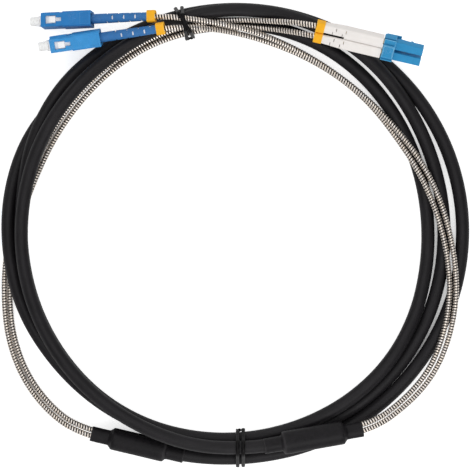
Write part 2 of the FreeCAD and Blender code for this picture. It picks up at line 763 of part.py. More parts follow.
def sc_frame(label, place):
    body = new_body(label, place)
    wide = "sc_wide - 2 * sc_wall - 2 * slide_gap"
    tall = "sc_tall - 2 * sc_wall - 2 * slide_gap"
    bar(body, "block", "-sc_frame_back", "sc_frame_back + sc_frame_proud", rect(wide, tall))
    boss = rect("sc_window_wide - 2 * sc_boss_gap", "sc_tall - 2 * sc_boss_sink")
    boss_start = "-sc_window_front - sc_window_long + sc_boss_gap"
    bar(body, "boss", boss_start, "sc_window_long - sc_travel - 2 * sc_boss_gap", boss)
    seat = "-sc_flange_front + seat_gap"
    nose = "sc_ferrule_dia / 2 + ferrule_gap"
    turn(body, "bore", "PartDesign::Groove", [
        ("sc_frame_proud + 1", "0"), ("sc_frame_proud + 1", nose), (seat, nose),
        (seat, "sc_chamber_dia / 2"), ("-sc_frame_back - 1", "sc_chamber_dia / 2"),
        ("-sc_frame_back - 1", "0")])
    return body


def sc_plug(tag, place):
    sc_sleeve(tag + "_coupling_sleeve", place)
    sc_frame(tag + "_plug_frame", place)
    tip = "sc_ferrule_proud"
    back = "-sc_flange_front - ferrule_sunk"
    radius = "sc_ferrule_dia / 2"
    turned(tag + "_ferrule", place, [
        (back, "0"), (back, radius), (tip + " - ferrule_chamfer", radius),
        (tip, radius + " - ferrule_chamfer"), (tip, "0")])
    flange_back = "-sc_flange_front - sc_flange_long"
    flange_out = "sc_chamber_dia / 2 - ferrule_gap"
    stem_back = flange_back + " - sc_stem_long"
    turned(tag + "_ferrule_flange", place, [
        ("-sc_flange_front", radius + " + press_gap"), ("-sc_flange_front", flange_out),
        (flange_back, flange_out), (flange_back, "sc_stem_dia / 2"), (stem_back, "sc_stem_dia / 2"),
        (stem_back, "fibre_bore / 2"), (back, "fibre_bore / 2"), (back, radius + " + press_gap")])
    spring_tube(tag + "_spring", place, flange_back, "-sc_stop_front", "sc_chamber_dia / 2 - spring_gap",
                "sc_stem_dia / 2 + spring_gap")
    collar_back = "sc_frame_back + sc_collar_long"
    stop_out = "sc_chamber_dia / 2 - press_gap"
    turned(tag + "_spring_stop", place, [
        ("-sc_stop_front", "sc_stem_dia / 2 + spring_gap"), ("-sc_stop_front", stop_out),
        ("-sc_frame_back", stop_out), ("-sc_frame_back", "sc_collar_dia / 2"),
        ("-(%s)" % collar_back, "sc_collar_dia / 2"), ("-(%s)" % collar_back, "sc_barrel_dia / 2"),
        ("-sc_barrel_back", "sc_barrel_dia / 2"), ("-sc_barrel_back", "fibre_bore / 2"),
        ("-sc_frame_back", "fibre_bore / 2"), ("-sc_frame_back", "sc_stem_dia / 2 + spring_gap")])
    leg_end = "-(sc_boot_end - leg_in_boot)"
    crimp_ring(tag + "_crimp_ring", place, collar_back, "sc_barrel_back", "sc_barrel_dia", leg_end)
    boot = new_body(tag + "_boot", place)
    hollow = "sc_barrel_dia / 2 + crimp_gap + crimp_wall + boot_gap"
    hollow_back = "-sc_barrel_back - seat_gap - boot_hollow"
    leg_hole = "leg_dia / 2 + boot_gap"
    turn(boot, "turn", "PartDesign::Revolution", [
        ("-sc_boot_front", hollow), ("-sc_boot_front", "sc_boot_dia / 2"),
        ("-sc_boot_straight", "sc_boot_dia / 2"), ("-sc_boot_end", "sc_boot_end_dia / 2"),
        ("-sc_boot_end", leg_hole), (hollow_back, leg_hole), (hollow_back, hollow)])
    boot_slots(boot, "sc_slot_start", 3)
    marker_ring(tag + "_marker_ring", place, "sc_boot_end", "ring_wide", "ring_tall")
    cap_back = "sc_frame_proud + seat_gap + cap_stand"
    cap_front = cap_back + " + cap_long"
    cap_in = radius + " + cap_gap"
    turned(tag + "_dust_cap", place, [
        (cap_back, cap_in), (cap_back, "cap_lip / 2"), (cap_back + " + cap_lip_long", "cap_lip / 2"),
        (cap_back + " + cap_lip_long", "cap_dia / 2"), (cap_front, "cap_dia / 2 - cap_bevel"),
        (cap_front, "0"), (cap_front + " - cap_roof", "0"), (cap_front + " - cap_roof", cap_in)])


for number, place in enumerate(SC_PLACES, 1):
    sc_plug("sc_%d" % number, place)


# Small square plug; the clip behind it reaches from CLIP_FRONT to CLIP_BACK

CLIP_BACK = "(lc_length + clip_behind)"
CLIP_FRONT = "(lc_length + clip_behind - clip_long)"


def lc_housing(label, place):
    body = new_body(label, place)
    block = bar(body, "block", "-lc_length", "lc_length", rect("lc_side", "lc_side"))
    round_long_edges(body, "round", block, "lc_round", 1.0)
    cavity = "lc_nose_bore / 2"
    guide = "lc_ferrule_dia / 2 + ferrule_gap"
    seat = "-lc_nose_deep - lc_guide_long"
    chamber = "lc_chamber_dia / 2"
    turn(body, "bore", "PartDesign::Groove", [
        ("1", "0"), ("1", cavity), ("-lc_nose_deep", cavity), ("-lc_nose_deep", guide), (seat, guide),
        (seat, chamber), ("-lc_length - 1", chamber), ("-lc_length - 1", "0")])
    return body


def lc_latch(label, place):
    """Spring arm that rises from the nose towards the cord, with side lugs"""
    body = new_body(label, place)
    low = "lc_side / 2 + latch_gap"
    foot = "-latch_root - latch_foot"
    end_low = low + " + latch_rise"
    arm = polygon(sketch(body, "arm", "XZ_Plane"), [
        ("-latch_root", low), ("-latch_root", low + " + latch_thick"),
        ("-latch_end", end_low + " + latch_thick"), ("-latch_end", end_low), (foot, low)])
    pad(body, "arm", arm, "latch_wide", True)
    lug_front = "-latch_lug_back + latch_lug_long"
    rise = "latch_rise * (latch_lug_back - latch_root) / (latch_end - latch_root)"
    lug_low = "%s + %s - latch_lug_drop" % (low, rise)
    lug = polygon(sketch(body, "lug", "XZ_Plane"), [
        ("-latch_lug_back", lug_low), (lug_front, lug_low),
        ("-latch_lug_back", lug_low + " + latch_lug_tall")])
    pad(body, "lug", lug, "latch_lug_wide", True)
    return body


def lc_boot(label, place):
    body = new_body(label, place)
    length = "lc_boot_straight - " + CLIP_BACK
    front = bar(body, "front", "-lc_boot_straight", length, rect("lc_boot_wide", "lc_boot_tall"))
    near = polygon(sketch(body, "near", "YZ_Plane", "-lc_boot_straight"),
                   rect("lc_boot_wide", "lc_boot_tall"))
    far = polygon(sketch(body, "far", "YZ_Plane", "-lc_boot_end"),
                  rect("lc_boot_end_wide", "lc_boot_end_wide"))
    rear = body.newObject("PartDesign::AdditiveLoft", label + "_rear")
    rear.Profile = near
    rear.Sections = [far]
    rear.Ruled = True
    round_long_edges(body, "round", rear, "lc_boot_round", 1.0)
    hollow = "lc_barrel_dia / 2 + crimp_gap + crimp_wall + boot_gap"
    hollow_back = "-lc_barrel_back - seat_gap - boot_hollow"
    leg_hole = "leg_dia / 2 + boot_gap"
    turn(body, "bore", "PartDesign::Groove", [
        ("1 - " + CLIP_BACK, "0"), ("1 - " + CLIP_BACK, hollow), (hollow_back, hollow),
        (hollow_back, leg_hole), ("-lc_boot_end - 1", leg_hole), ("-lc_boot_end - 1", "0")])
    boot_slits(body, 2)
    return body


def lc_plug(tag, place):
    lc_housing(tag + "_plug_housing", place)
    lc_latch(tag + "_latch", place)
    radius = "lc_ferrule_dia / 2"
    waist = radius + " - ferrule_waist"
    seat = "-lc_nose_deep - lc_guide_long - seat_gap"
    back = seat + " - ferrule_sunk"
    tip = "-lc_tip_sink"
    neck = "-lc_nose_deep + seat_gap"
    turned(tag + "_ferrule", place, [
        (back, "0"), (back, waist + " - ferrule_taper"), (neck, waist), (neck, radius),
        (tip + " - ferrule_chamfer", radius),
        (tip, radius + " - ferrule_chamfer"), (tip, "0")])
    flange_back = seat + " - lc_flange_long"
    flange_out = "lc_chamber_dia / 2 - ferrule_gap"
    stem_back = flange_back + " - lc_stem_long"
    turned(tag + "_ferrule_flange", place, [
        (seat, waist + " + press_gap"), (seat, flange_out), (flange_back, flange_out),
        (flange_back, "lc_stem_dia / 2"), (stem_back, "lc_stem_dia / 2"), (stem_back, "fibre_bore / 2"),
        (back, "fibre_bore / 2"), (back, waist + " + press_gap")])
    spring_tube(tag + "_spring", place, flange_back, "-lc_stop_front", "lc_chamber_dia / 2 - spring_gap",
                "lc_stem_dia / 2 + spring_gap")
    collar_back = "lc_length + lc_collar_long"
    stop_out = "lc_chamber_dia / 2 - press_gap"
    turned(tag + "_rear_body", place, [
        ("-lc_stop_front", "lc_stem_dia / 2 + spring_gap"), ("-lc_stop_front", stop_out),
        ("-lc_length", stop_out), ("-lc_length", "lc_collar_dia / 2"),
        ("-(%s)" % collar_back, "lc_collar_dia / 2"),
        ("-(%s)" % collar_back, "lc_barrel_dia / 2"), ("-lc_barrel_back", "lc_barrel_dia / 2"),
        ("-lc_barrel_back", "fibre_bore / 2"), ("-lc_length", "fibre_bore / 2"),
        ("-lc_length", "lc_stem_dia / 2 + spring_gap")])
    leg_end = "-(lc_boot_end - leg_in_boot)"
    crimp_ring(tag + "_crimp_ring", place, collar_back, "lc_barrel_back", "lc_barrel_dia", leg_end)
    lc_boot(tag + "_boot", place)
    marker_ring(tag + "_marker_ring", place, "lc_boot_end", "lc_ring_wide", "lc_ring_tall")


for number, across in enumerate(LC_SIDES, 1):
    lc_plug("lc_%d" % number, LC_PLACE.multiply(Placement(Vector(0, across, 0), Rotation())))


# Clip that joins the two small plugs and carries the trigger over both latches

def duplex_clip(label, place):
    body = new_body(label, place)
    half = "lc_side / 2 + clip_wall"
    bar(body, "block", "-" + CLIP_BACK, "clip_long",
        rect("lc_pitch + lc_side + 2 * clip_wall", "lc_side + 2 * clip_wall"))
    pad_start = "clip_long / 2 - clip_pad_long / 2 - " + CLIP_BACK
    bar(body, "pad", pad_start, "clip_pad_long",
        rect("clip_pad_wide", "2 * clip_pad_proud", "clip_pad_side", "-(%s)" % half))
    tip = "-latch_end + trigger_reach"
    over = "lc_side / 2 + latch_gap + latch_rise + latch_thick + trigger_clear"
    back = "-" + CLIP_BACK
    root = "trigger_root - " + CLIP_BACK
    trigger = polygon(sketch(body, "trigger", "XZ_Plane"), [
        (back, half + " - trigger_sink"), (back, half),
        ("trigger_slope + " + back, over + " + trigger_thick"),
        (tip, over + " + trigger_thick + trigger_lift"), (tip, over + " + trigger_lift"),
        ("trigger_neck + " + back, over), (root, half), (root, half + " - trigger_sink")])
    pad(body, "trigger", trigger, "trigger_wide", True)
    hole = "lc_side + 2 * clip_gap"
    page = sketch(body, "holes", "YZ_Plane")
    polygon(page, rect(hole, hole, "lc_pitch / 2", "0"))
    polygon(page, rect(hole, hole, "-lc_pitch / 2", "0"))
    through(body, "holes", page)
    return body


duplex_clip("lc_duplex_clip", LC_PLACE)
doc.recompute()

# Nothing is written unless every object came out whole
for item in doc.Objects:
    if "Invalid" in item.State or "Error" in item.State:
        raise RuntimeError("%s did not build" % item.Label)
for piece in PIECES:
    if piece.Shape.isNull() or not piece.Shape.isValid() or len(piece.Shape.Solids) != 1:
        raise RuntimeError("%s is not one sound solid" % piece.Label)

os.makedirs("parts", exist_ok=True)
for piece in PIECES:
    piece.Shape.exportStep("parts/%s.step" % piece.Label)
print("%d pieces written" % len(PIECES))
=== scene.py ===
import bmesh
import bpy
import json
import math
from mathutils import Matrix, Vector, geometry, noise


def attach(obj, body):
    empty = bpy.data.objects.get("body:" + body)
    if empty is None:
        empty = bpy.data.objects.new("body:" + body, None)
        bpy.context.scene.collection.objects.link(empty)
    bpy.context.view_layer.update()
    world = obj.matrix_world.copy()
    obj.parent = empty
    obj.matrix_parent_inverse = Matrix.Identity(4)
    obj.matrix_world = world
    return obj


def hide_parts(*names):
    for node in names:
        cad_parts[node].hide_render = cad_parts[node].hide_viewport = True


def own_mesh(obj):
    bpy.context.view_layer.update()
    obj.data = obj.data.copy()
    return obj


# Armoured fibre patch cord: coiled cable, breakouts, armoured legs and plugs
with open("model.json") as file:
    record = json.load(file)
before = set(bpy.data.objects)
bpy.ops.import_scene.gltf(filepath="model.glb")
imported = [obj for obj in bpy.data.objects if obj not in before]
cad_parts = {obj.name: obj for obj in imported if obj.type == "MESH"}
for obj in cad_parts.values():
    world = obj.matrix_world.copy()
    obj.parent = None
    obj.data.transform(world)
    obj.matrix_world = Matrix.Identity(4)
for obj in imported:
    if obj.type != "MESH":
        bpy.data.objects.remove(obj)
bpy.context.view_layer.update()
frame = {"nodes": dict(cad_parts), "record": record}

MM = 0.001
CORD_BODY = "cord"
SHARP_TURN = math.radians(32)


# Places of the rigid groups, with local X towards the mating end

def seat(base, yaw, pitch, roll):
    turn = Matrix.Rotation(math.radians(yaw), 4, "Z")
    tilt = Matrix.Rotation(math.radians(-pitch), 4, "Y")
    spin = Matrix.Rotation(math.radians(roll), 4, "X")
    return Matrix.Translation(Vector(base) * MM) @ turn @ tilt @ spin


def spot(place, along, across=0.0, up=0.0):
    return place @ (Vector((along, across, up)) * MM)


SC_SEATS = [
    seat((-100.4, 111.2, 5.6), 182.4, -13.0, 9.3),
    seat((-96.0, 98.7, 12.9), 188.4, -8.5, -11.0),
]
# The duplex plug's seat, and the same without its roll, upright as the plug is seen from above
LC_BASE = (97.3, 93.1, 18.8)
LC_YAW = -13.2
LC_PITCH = -2.0
LC_SEAT = seat(LC_BASE, LC_YAW, LC_PITCH, 210.0)
LC_LEVEL = seat(LC_BASE, LC_YAW, LC_PITCH, 0.0)
LC_SIDES = [-3.125, 3.125]
LEFT_BREAKOUT = seat((-35.8, -113.4, 5.7), 166.7, 0.0, 0.0)
RIGHT_BREAKOUT = seat((25.1, -108.9, 17.9), 9.8, -5.0, 0.0)

# Coil: angle, radius and height where the lay of the strands changes
COIL_CENTRE = Vector((0, 1.1, 0)) * MM
COIL_LEAD = 15.3
COIL_STEP = 15.0
COIL_KEYS = [
    (260, 119.6, 5.5), (275, 117.5, 4.8), (290, 117.5, 4.0), (310, 117.5, 3.6), (330, 118.1, 3.6),
    (350, 118.8, 3.6), (370, 119.0, 3.6), (390, 118.6, 3.6), (410, 117.6, 3.6), (430, 116.6, 3.8),
    (450, 116.2, 4.2), (464, 116.3, 5.0), (470, 116.4, 5.7), (485, 117.3, 5.0), (500, 117.9, 11.0),
    (515, 115.8, 10.9), (530, 112.2, 9.0), (546, 111.4, 8.4), (553, 111.4, 9.6), (565, 111.4, 11.0),
    (580, 111.4, 11.2), (595, 111.6, 11.2), (605, 110.6, 11.2), (617, 109.2, 11.4), (631, 107.8, 11.9),
    (645, 106.6, 10.8), (660, 106.0, 9.9), (675, 105.6, 9.3), (690, 104.2, 8.3), (700, 102.4, 6.2),
    (712, 101.0, 3.7), (720, 100.4, 3.6), (735, 100.8, 3.6), (745, 101.7, 3.6), (755, 102.9, 3.6),
    (765, 104.5, 3.6), (775, 106.1, 3.6), (785, 107.5, 3.6), (800, 108.7, 4.0), (815, 108.8, 4.6),
    (825, 108.9, 5.0), (835, 109.0, 4.2), (845, 110.4, 3.6), (860, 113.9, 3.6), (875, 118.4, 3.6),
    (890, 119.0, 6.0), (905, 118.3, 7.0), (921, 117.4, 7.0), (931, 115.6, 4.6), (940, 114.7, 3.6),
    (950, 113.6, 3.6), (965, 111.6, 3.6), (977, 110.3, 4.0), (991, 109.8, 4.9), (1005, 110.5, 4.0),
    (1020, 110.9, 3.6), (1035, 110.8, 3.6), (1050, 110.2, 3.6), (1065, 109.6, 3.6), (1080, 109.0, 3.6),
    (1095, 109.2, 3.6), (1105, 109.8, 3.9), (1115, 111.1, 6.4), (1125, 113.0, 9.6), (1135, 114.6, 10.8),
    (1150, 115.9, 11.1), (1165, 116.2, 11.6), (1178, 115.8, 12.1), (1190, 113.8, 12.7), (1205, 111.8, 15.2),
    (1220, 111.7, 18.0), (1235, 111.7, 17.1), (1250, 111.3, 16.1), (1265, 111.5, 16.5), (1285, 111.8, 18.4),
    (1300, 111.9, 18.6), (1315, 112.1, 18.6), (1325, 112.4, 18.5), (1340, 112.9, 18.6),
]

# Free stretch of each leg, from its breakout to its plug
SC_LEGS = [
    [(90.7, -88.7, 9.4), (104.1, -73.4, 7.6), (112.2, -54.1, 7.8), (116.0, -33.0, 9.0), (114.5, -9.9, 8.9),
     (109.2, 12.6, 9.1), (100.8, 32.3, 9.3), (88.9, 49.7, 9.0), (73.6, 66.7, 5.4), (56.1, 81.6, 4.8),
     (35.5, 95.0, 4.4), (11.0, 105.8, 13.0), (-12.5, 110.8, 16.2)],
    [(88.7, -86.1, 9.4), (101.5, -71.3, 7.8), (109.2, -51.9, 8.9), (112.6, -31.4, 9.2), (110.8, -9.4, 9.1),
     (105.4, 11.6, 9.2), (97.4, 30.5, 9.5), (86.2, 47.9, 7.4), (71.4, 67.5, 1.6), (53.3, 83.1, 1.6),
     (31.8, 95.1, 1.6), (8.9, 103.2, 6.4), (-11.5, 107.2, 15.4)],
]
LC_LEGS = [
    [(-98.5, -92.4, 2.2), (-111.5, -74.9, 1.6), (-118.9, -54.4, 1.6), (-121.0, -32.9, 1.6),
     (-120.0, -10.4, 1.6), (-114.1, 12.2, 1.6), (-106.5, 32.4, 1.6), (-96.1, 53.7, 1.6),
     (-80.8, 74.6, 6.2), (-62.2, 91.7, 8.8), (-42.1, 103.2, 9.7), (-21.4, 110.0, 10.1),
     (-0.5, 112.1, 10.3), (20.9, 111.1, 15.8)],
    [(-95.7, -90.6, 2.2), (-108.7, -73.4, 1.6), (-116.0, -53.2, 1.6), (-118.0, -32.6, 1.6),
     (-116.9, -11.5, 1.6), (-111.1, 10.9, 1.6), (-103.8, 30.5, 1.6), (-93.7, 51.5, 1.6),
     (-78.7, 72.2, 4.4), (-60.5, 89.1, 7.0), (-41.1, 100.2, 9.4), (-21.4, 106.1, 10.1),
     (-1.6, 108.8, 9.9), (18.8, 107.4, 10.4)],
]

# Sizes of the cords, in millimetres
CABLE_DIA = 7.0
LEG_DIA = 3.0
LEG_SPREAD = 3.3
LEG_START = 29.0
LEG_LEAVE = 47.0
SC_LEG_ENDS = (-66.0, -48.2)
LC_LEG_ENDS = (-60.6, -44.6)

# Ribs of the armour: pitch and depth, then where a flank starts and ends, from 0 at the middle of a rib
# to 1 at the middle of a gap
RIB_PITCH = 1.45
RIB_DEPTH = 0.3
RIB_TOP = 0.42
RIB_FOOT = 0.86

# Real lengths of the cords, in metres, and how finely their skins are divided
SC_LEG_LENGTHS = (0.3571, 0.3453)
LC_LEG_LENGTHS = (0.3686, 0.3580)
CABLE_STEPS = 14
CABLE_SPOKES = 28
LEG_STEPS = 190
LEG_SPOKES = 14


# Routes and the smooth lines that they give

def coil_lay(angle):
    """Radius and height of the coil at an angle"""
    for (low, low_radius, low_height), (high, high_radius, high_height) in zip(COIL_KEYS, COIL_KEYS[1:]):
        if angle <= high:
            break
    share = (angle - low) / (high - low)
    return (low_radius + share * (high_radius - low_radius),
            low_height + share * (high_height - low_height))


def coil_route():
    """Points of the coil, a little outside its strand because the spline runs inside them"""
    grow = 1 / (0.75 + 0.25 * math.cos(math.radians(COIL_STEP)))
    route = [spot(LEFT_BREAKOUT, 0), spot(LEFT_BREAKOUT, -COIL_LEAD)]
    angle = COIL_KEYS[0][0] + COIL_STEP
    while angle <= COIL_KEYS[-1][0]:
        radius, height = coil_lay(angle)
        turn = math.radians(angle)
        away = Vector((math.cos(turn) * radius * grow, math.sin(turn) * radius * grow, height))
        route.append(COIL_CENTRE + away * MM)
        angle += COIL_STEP
    route.append(spot(RIGHT_BREAKOUT, -COIL_LEAD))
    route.append(spot(RIGHT_BREAKOUT, 0))
    return route


def leg_route(breakout, side, middle, plug, across, ends):
    route = [spot(breakout, LEG_START, side), spot(breakout, LEG_LEAVE, side)]
    route += [Vector(place) * MM for place in middle]
    route += [spot(plug, ends[0], across), spot(plug, ends[1], across)]
    return route


def placed(name, data):
    """New object in the scene that shows some data"""
    holder = bpy.data.objects.new(name, data)
    bpy.context.scene.collection.objects.link(holder)
    return holder


def smooth_line(route, steps):
    """Points of the smooth spline whose control points are the route"""
    curve = bpy.data.curves.new("route_line", "CURVE")
    curve.dimensions = "3D"
    spline = curve.splines.new("NURBS")
    spline.points.add(len(route) - 1)
    for point, place in zip(spline.points, route):
        point.co = (place.x, place.y, place.z, 1.0)
    spline.order_u = 3
    spline.use_endpoint_u = True
    spline.resolution_u = steps
    curve.resolution_u = steps
    holder = placed("route_line", curve)
    mesh = bpy.data.meshes.new_from_object(holder)
    line = [vertex.co.copy() for vertex in mesh.vertices]
    bpy.data.objects.remove(holder)
    bpy.data.curves.remove(curve)
    bpy.data.meshes.remove(mesh)
    return line


def stations(line):
    """Place, distance travelled and two cross directions at each point of a line"""
    travel = 0.0
    side = (line[1] - line[0]).orthogonal().normalized()
    found = []
    last = len(line) - 1
    for index, place in enumerate(line):
        heading = (line[min(index + 1, last)] - line[max(index - 1, 0)]).normalized()
        side = (side - heading * side.dot(heading)).normalized()
        if index:
            travel += (place - line[index - 1]).length
        found.append((place, travel, side, heading.cross(side)))
    return found


# Meshes over rings of points

def piece_from(name, corners, faces, smooth=True):
    mesh = bpy.data.meshes.new(name)
    mesh.from_pydata(corners, [], faces)
    mesh.polygons.foreach_set("use_smooth", [smooth] * len(mesh.polygons))
    return placed(name, mesh)


def note_values(piece, name, kind, field, values):
    layer = piece.data.attributes.new(name, kind, "POINT")
    layer.data.foreach_set(field, values)


def spoke_turns(spokes):
    """Even angles round a ring"""
    return [2 * math.pi * spoke / spokes for spoke in range(spokes)]


def ring_faces(rings, spokes, first=0, closed=False):
    """Faces between neighbouring rings of points, numbered from the first point"""
    faces = []
    for ring in range(rings if closed else rings - 1):
        here = first + ring * spokes
        there = first + (ring + 1) % rings * spokes
        for spoke in range(spokes):
            after = (spoke + 1) % spokes
            faces.append((here + spoke, here + after, there + after, there + spoke))
    return faces


def end_faces(rings, spokes, first=0):
    """Faces that close the first and the last ring"""
    last = first + (rings - 1) * spokes
    return [tuple(reversed(range(first, first + spokes))), tuple(range(last, last + spokes))]


def tube(name, line, spokes, shape):
    """Closed tube along a line; shape(travel, turn) gives its radius and a depth from 0 to 1"""
    corners = []
    lay = []
    depths = []
    for place, travel, side, up in stations(line):
        for turn in spoke_turns(spokes):
            radius, depth = shape(travel, turn)
            cosine = math.cos(turn)
            sine = math.sin(turn)
            corners.append(place + side * (radius * cosine) + up * (radius * sine))
            lay.extend((travel, cosine, sine))
            depths.append(depth)
    piece = piece_from(name, corners, ring_faces(len(line), spokes) + end_faces(len(line), spokes))
    note_values(piece, "lay", "FLOAT_VECTOR", "vector", lay)
    note_values(piece, "groove", "FLOAT", "value", depths)
    return piece


def soft_step(low, high, value):
    share = min(max((value - low) / (high - low), 0.0), 1.0)
    return share * share * (3 - 2 * share)


def round_shape(diameter):
    """Shape of a plain round tube"""
    def shape(travel, turn):
        return diameter / 2 * MM, 0.0
    return shape


def armour_shape(travel, turn):
    """Flat-topped ribs with narrow gaps, wound as a screw"""
    phase = (travel / (RIB_PITCH * MM) - turn / (2 * math.pi)) % 1.0
    away = abs(phase - 0.5) * 2
    depth = soft_step(RIB_TOP, RIB_FOOT, away)
    return (LEG_DIA / 2 - RIB_DEPTH * depth) * MM, depth


# Finishes

def plain(red, green, blue):
    """Linear colour from the eight-bit values of a colour card"""
    def linear(part):
        part /= 255
        return part / 12.92 if part <= 0.04045 else ((part + 0.055) / 1.055) ** 2.4
    return (linear(red), linear(green), linear(blue), 1.0)


WHITE = (1, 1, 1, 1)
SCRATCH_COLOUR = plain(225, 228, 232)
DUST_COLOUR = plain(205, 200, 192)
DUST_ON_BLACK = plain(150, 146, 142)
# How much of the painted highlight colour goes on the rounded edges
EDGE_HIGHLIGHT_SHARE = 0.8
FINE_SKIN = 0.00003
SATIN = 0.18


class Bench:
    """Sets nodes in one tree and wires them"""

    def __init__(self, tree):
        self.tree = tree

    def node(self, kind, inputs=None, **settings):
        made = self.tree.nodes.new(kind)
        for key, value in settings.items():
            setattr(made, key, value)
        for key, value in (inputs or {}).items():
            self.feed(made.inputs[key], value)
        return made

    def feed(self, socket, value):
        if isinstance(value, bpy.types.NodeSocket):
            self.tree.links.new(value, socket)
        else:
            socket.default_value = value

    def math(self, operation, first, second=0.0, third=0.0):
        made = self.node("ShaderNodeMath", {0: first, 1: second, 2: third}, operation=operation)
        return made.outputs[0]

    def spread(self, value, low, high, new_low=0.0, new_high=1.0):
        made = self.node("ShaderNodeMapRange", {
            "Value": value, "From Min": low, "From Max": high, "To Min": new_low, "To Max": new_high})
        return made.outputs["Result"]

    def noise(self, where, scale, detail=2.0, roughness=0.5):
        made = self.node("ShaderNodeTexNoise", {
            "Vector": where, "Scale": scale, "Detail": detail, "Roughness": roughness})
        return made.outputs["Fac"]

    def mix(self, share, first, second):
        made = self.node("ShaderNodeMix", {0: share, 6: first, 7: second}, data_type="RGBA")
        return made.outputs[2]

    def own_place(self):
        return self.node("ShaderNodeTexCoord").outputs["Object"]

    def noted(self, name, output="Fac"):
        return self.node("ShaderNodeAttribute", attribute_name=name).outputs[output]

    def stretched(self, where, scale):
        return self.node("ShaderNodeMapping", {"Vector": where, "Scale": scale}).outputs["Vector"]

    def group(self, group, inputs):
        return self.node("ShaderNodeGroup", inputs, node_tree=group).outputs

    def raise_skin(self, socket, height, strength, depth):
        bump = self.node("ShaderNodeBump", {"Height": height, "Strength": strength, "Distance": depth})
        self.feed(socket, bump.outputs["Normal"])


def cleared(holder):
    """Bench on the emptied tree of a material or world"""
    holder.use_nodes = True
    holder.node_tree.nodes.clear()
    return Bench(holder.node_tree)


def new_group(name, inputs, outputs):
    group = bpy.data.node_groups.new(name, "ShaderNodeTree")
    for label, kind, value in inputs:
        socket = group.interface.new_socket(label, in_out="INPUT", socket_type=kind)
        if value is not None:
            socket.default_value = value
    for label, kind in outputs:
        group.interface.new_socket(label, in_out="OUTPUT", socket_type=kind)
    bench = Bench(group)
    entry = bench.node("NodeGroupInput")
    leave = bench.node("NodeGroupOutput")
    return group, bench, entry.outputs, leave.inputs


def moulded_grain():
    """Mottled colour, uneven gloss and a fine spark-eroded skin"""
    group, bench, given, out = new_group("moulded grain", [
        ("Colour", "NodeSocketColor", (0.5, 0.5, 0.5, 1)), ("Mottle", "NodeSocketFloat", 0.1),
        ("Gloss Low", "NodeSocketFloat", 0.3), ("Gloss High", "NodeSocketFloat", 0.5),
        ("Grain", "NodeSocketFloat", 5000.0)],
        [("Colour", "NodeSocketColor"), ("Roughness", "NodeSocketFloat"), ("Height", "NodeSocketFloat")])
    where = bench.own_place()
    cloud = bench.noise(where, 260.0, 3.0)
    shade = bench.spread(cloud, 0.3, 0.7, -1.0, 1.0)
    value = bench.math("MULTIPLY_ADD", shade, given["Mottle"], 1.0)
    tint = bench.node("ShaderNodeHueSaturation", {"Color": given["Colour"], "Value": value})
    patch = bench.noise(where, 900.0)
    fine = bench.noise(where, given["Grain"], 1.0)
    share = bench.spread(patch, 0.35, 0.65)
    gap = bench.math("SUBTRACT", given["Gloss High"], given["Gloss Low"])
    bench.feed(out["Colour"], tint.outputs["Color"])
    bench.feed(out["Roughness"], bench.math("MULTIPLY_ADD", share, gap, given["Gloss Low"]))
    bench.feed(out["Height"], fine)
    return group


def handling_scuffs():
    """Thin scratches in patches, as a mask"""
    group, bench, given, out = new_group("handling scuffs", [
        ("Where", "NodeSocketVector", None), ("Fineness", "NodeSocketFloat", 300.0),
        ("Amount", "NodeSocketFloat", 0.5)], [("Mask", "NodeSocketFloat")])
    lines = bench.node("ShaderNodeTexNoise", {
        "Vector": given["Where"], "Scale": given["Fineness"], "Detail": 3.0, "Distortion": 1.2})
    off = bench.math("ABSOLUTE", bench.math("SUBTRACT", lines.outputs["Fac"], 0.5))
    thin = bench.spread(off, 0.0, 0.018, 1.0, 0.0)
    patch = bench.noise(given["Where"], bench.math("MULTIPLY", given["Fineness"], 0.11))
    both = bench.math("MULTIPLY", thin, bench.spread(patch, 0.48, 0.68))
    bench.feed(out["Mask"], bench.math("MULTIPLY", both, given["Amount"]))
    return group


def settled_dust():
    """Faint dust on what faces up, as a mask"""
    group, bench, given, out = new_group("settled dust", [("Amount", "NodeSocketFloat", 0.1)],
                                         [("Mask", "NodeSocketFloat")])
    place = bench.node("ShaderNodeNewGeometry")
    up = bench.node("ShaderNodeSeparateXYZ", {0: place.outputs["Normal"]}).outputs["Z"]
    specks = bench.noise(place.outputs["Position"], 1800.0, 4.0, 0.7)
    both = bench.math("MULTIPLY", bench.spread(up, 0.2, 1.0), bench.spread(specks, 0.45, 0.75))
    bench.feed(out["Mask"], bench.math("MULTIPLY", both, given["Amount"]))
    return group


GRAIN = moulded_grain()
SCUFFS = handling_scuffs()
DUST = settled_dust()


def new_finish(name, **settings):
    """Empty finish with one main shader, whose plain values are set here"""
    finish = bpy.data.materials.new(name)
    bench = cleared(finish)
    shader = bench.node("ShaderNodeBsdfPrincipled")
    bench.node("ShaderNodeOutputMaterial", {"Surface": shader.outputs["BSDF"]})
    for key, value in settings.items():
        shader.inputs[key.replace("_", " ")].default_value = value
    return finish, bench, shader.inputs


def moulded_plastic(name, colour, edge_highlight, gloss, mottle=0.06, grain=5000.0, skin=0.15, dust=0.03, **settings):
    """Hard or soft moulded plastic with grain, scuffs, a painted highlight on the rounded edges and a little
    dust
    """
    finish, bench, into = new_finish(name, **settings)
    body = bench.group(GRAIN, {
        "Colour": colour, "Mottle": mottle, "Gloss Low": gloss[0], "Gloss High": gloss[1], "Grain": grain})
    scratch = bench.group(SCUFFS, {"Where": bench.own_place(), "Fineness": 700.0, "Amount": 0.25})["Mask"]
    film = bench.group(DUST, {"Amount": dust})["Mask"]
    rounded = bench.math("MULTIPLY", bench.noted("edge_highlight"), EDGE_HIGHLIGHT_SHARE)
    # The rounded edges take a painted highlight colour, and scratches go over it
    lighter = bench.mix(scratch, bench.mix(rounded, body["Colour"], edge_highlight), SCRATCH_COLOUR)
    bench.feed(into["Base Color"], bench.mix(film, lighter, DUST_COLOUR))
    bench.feed(into["Roughness"], bench.math("ADD", body["Roughness"], bench.math("MULTIPLY", scratch, 0.3)))
    bench.raise_skin(into["Normal"], body["Height"], skin, FINE_SKIN)
    return finish


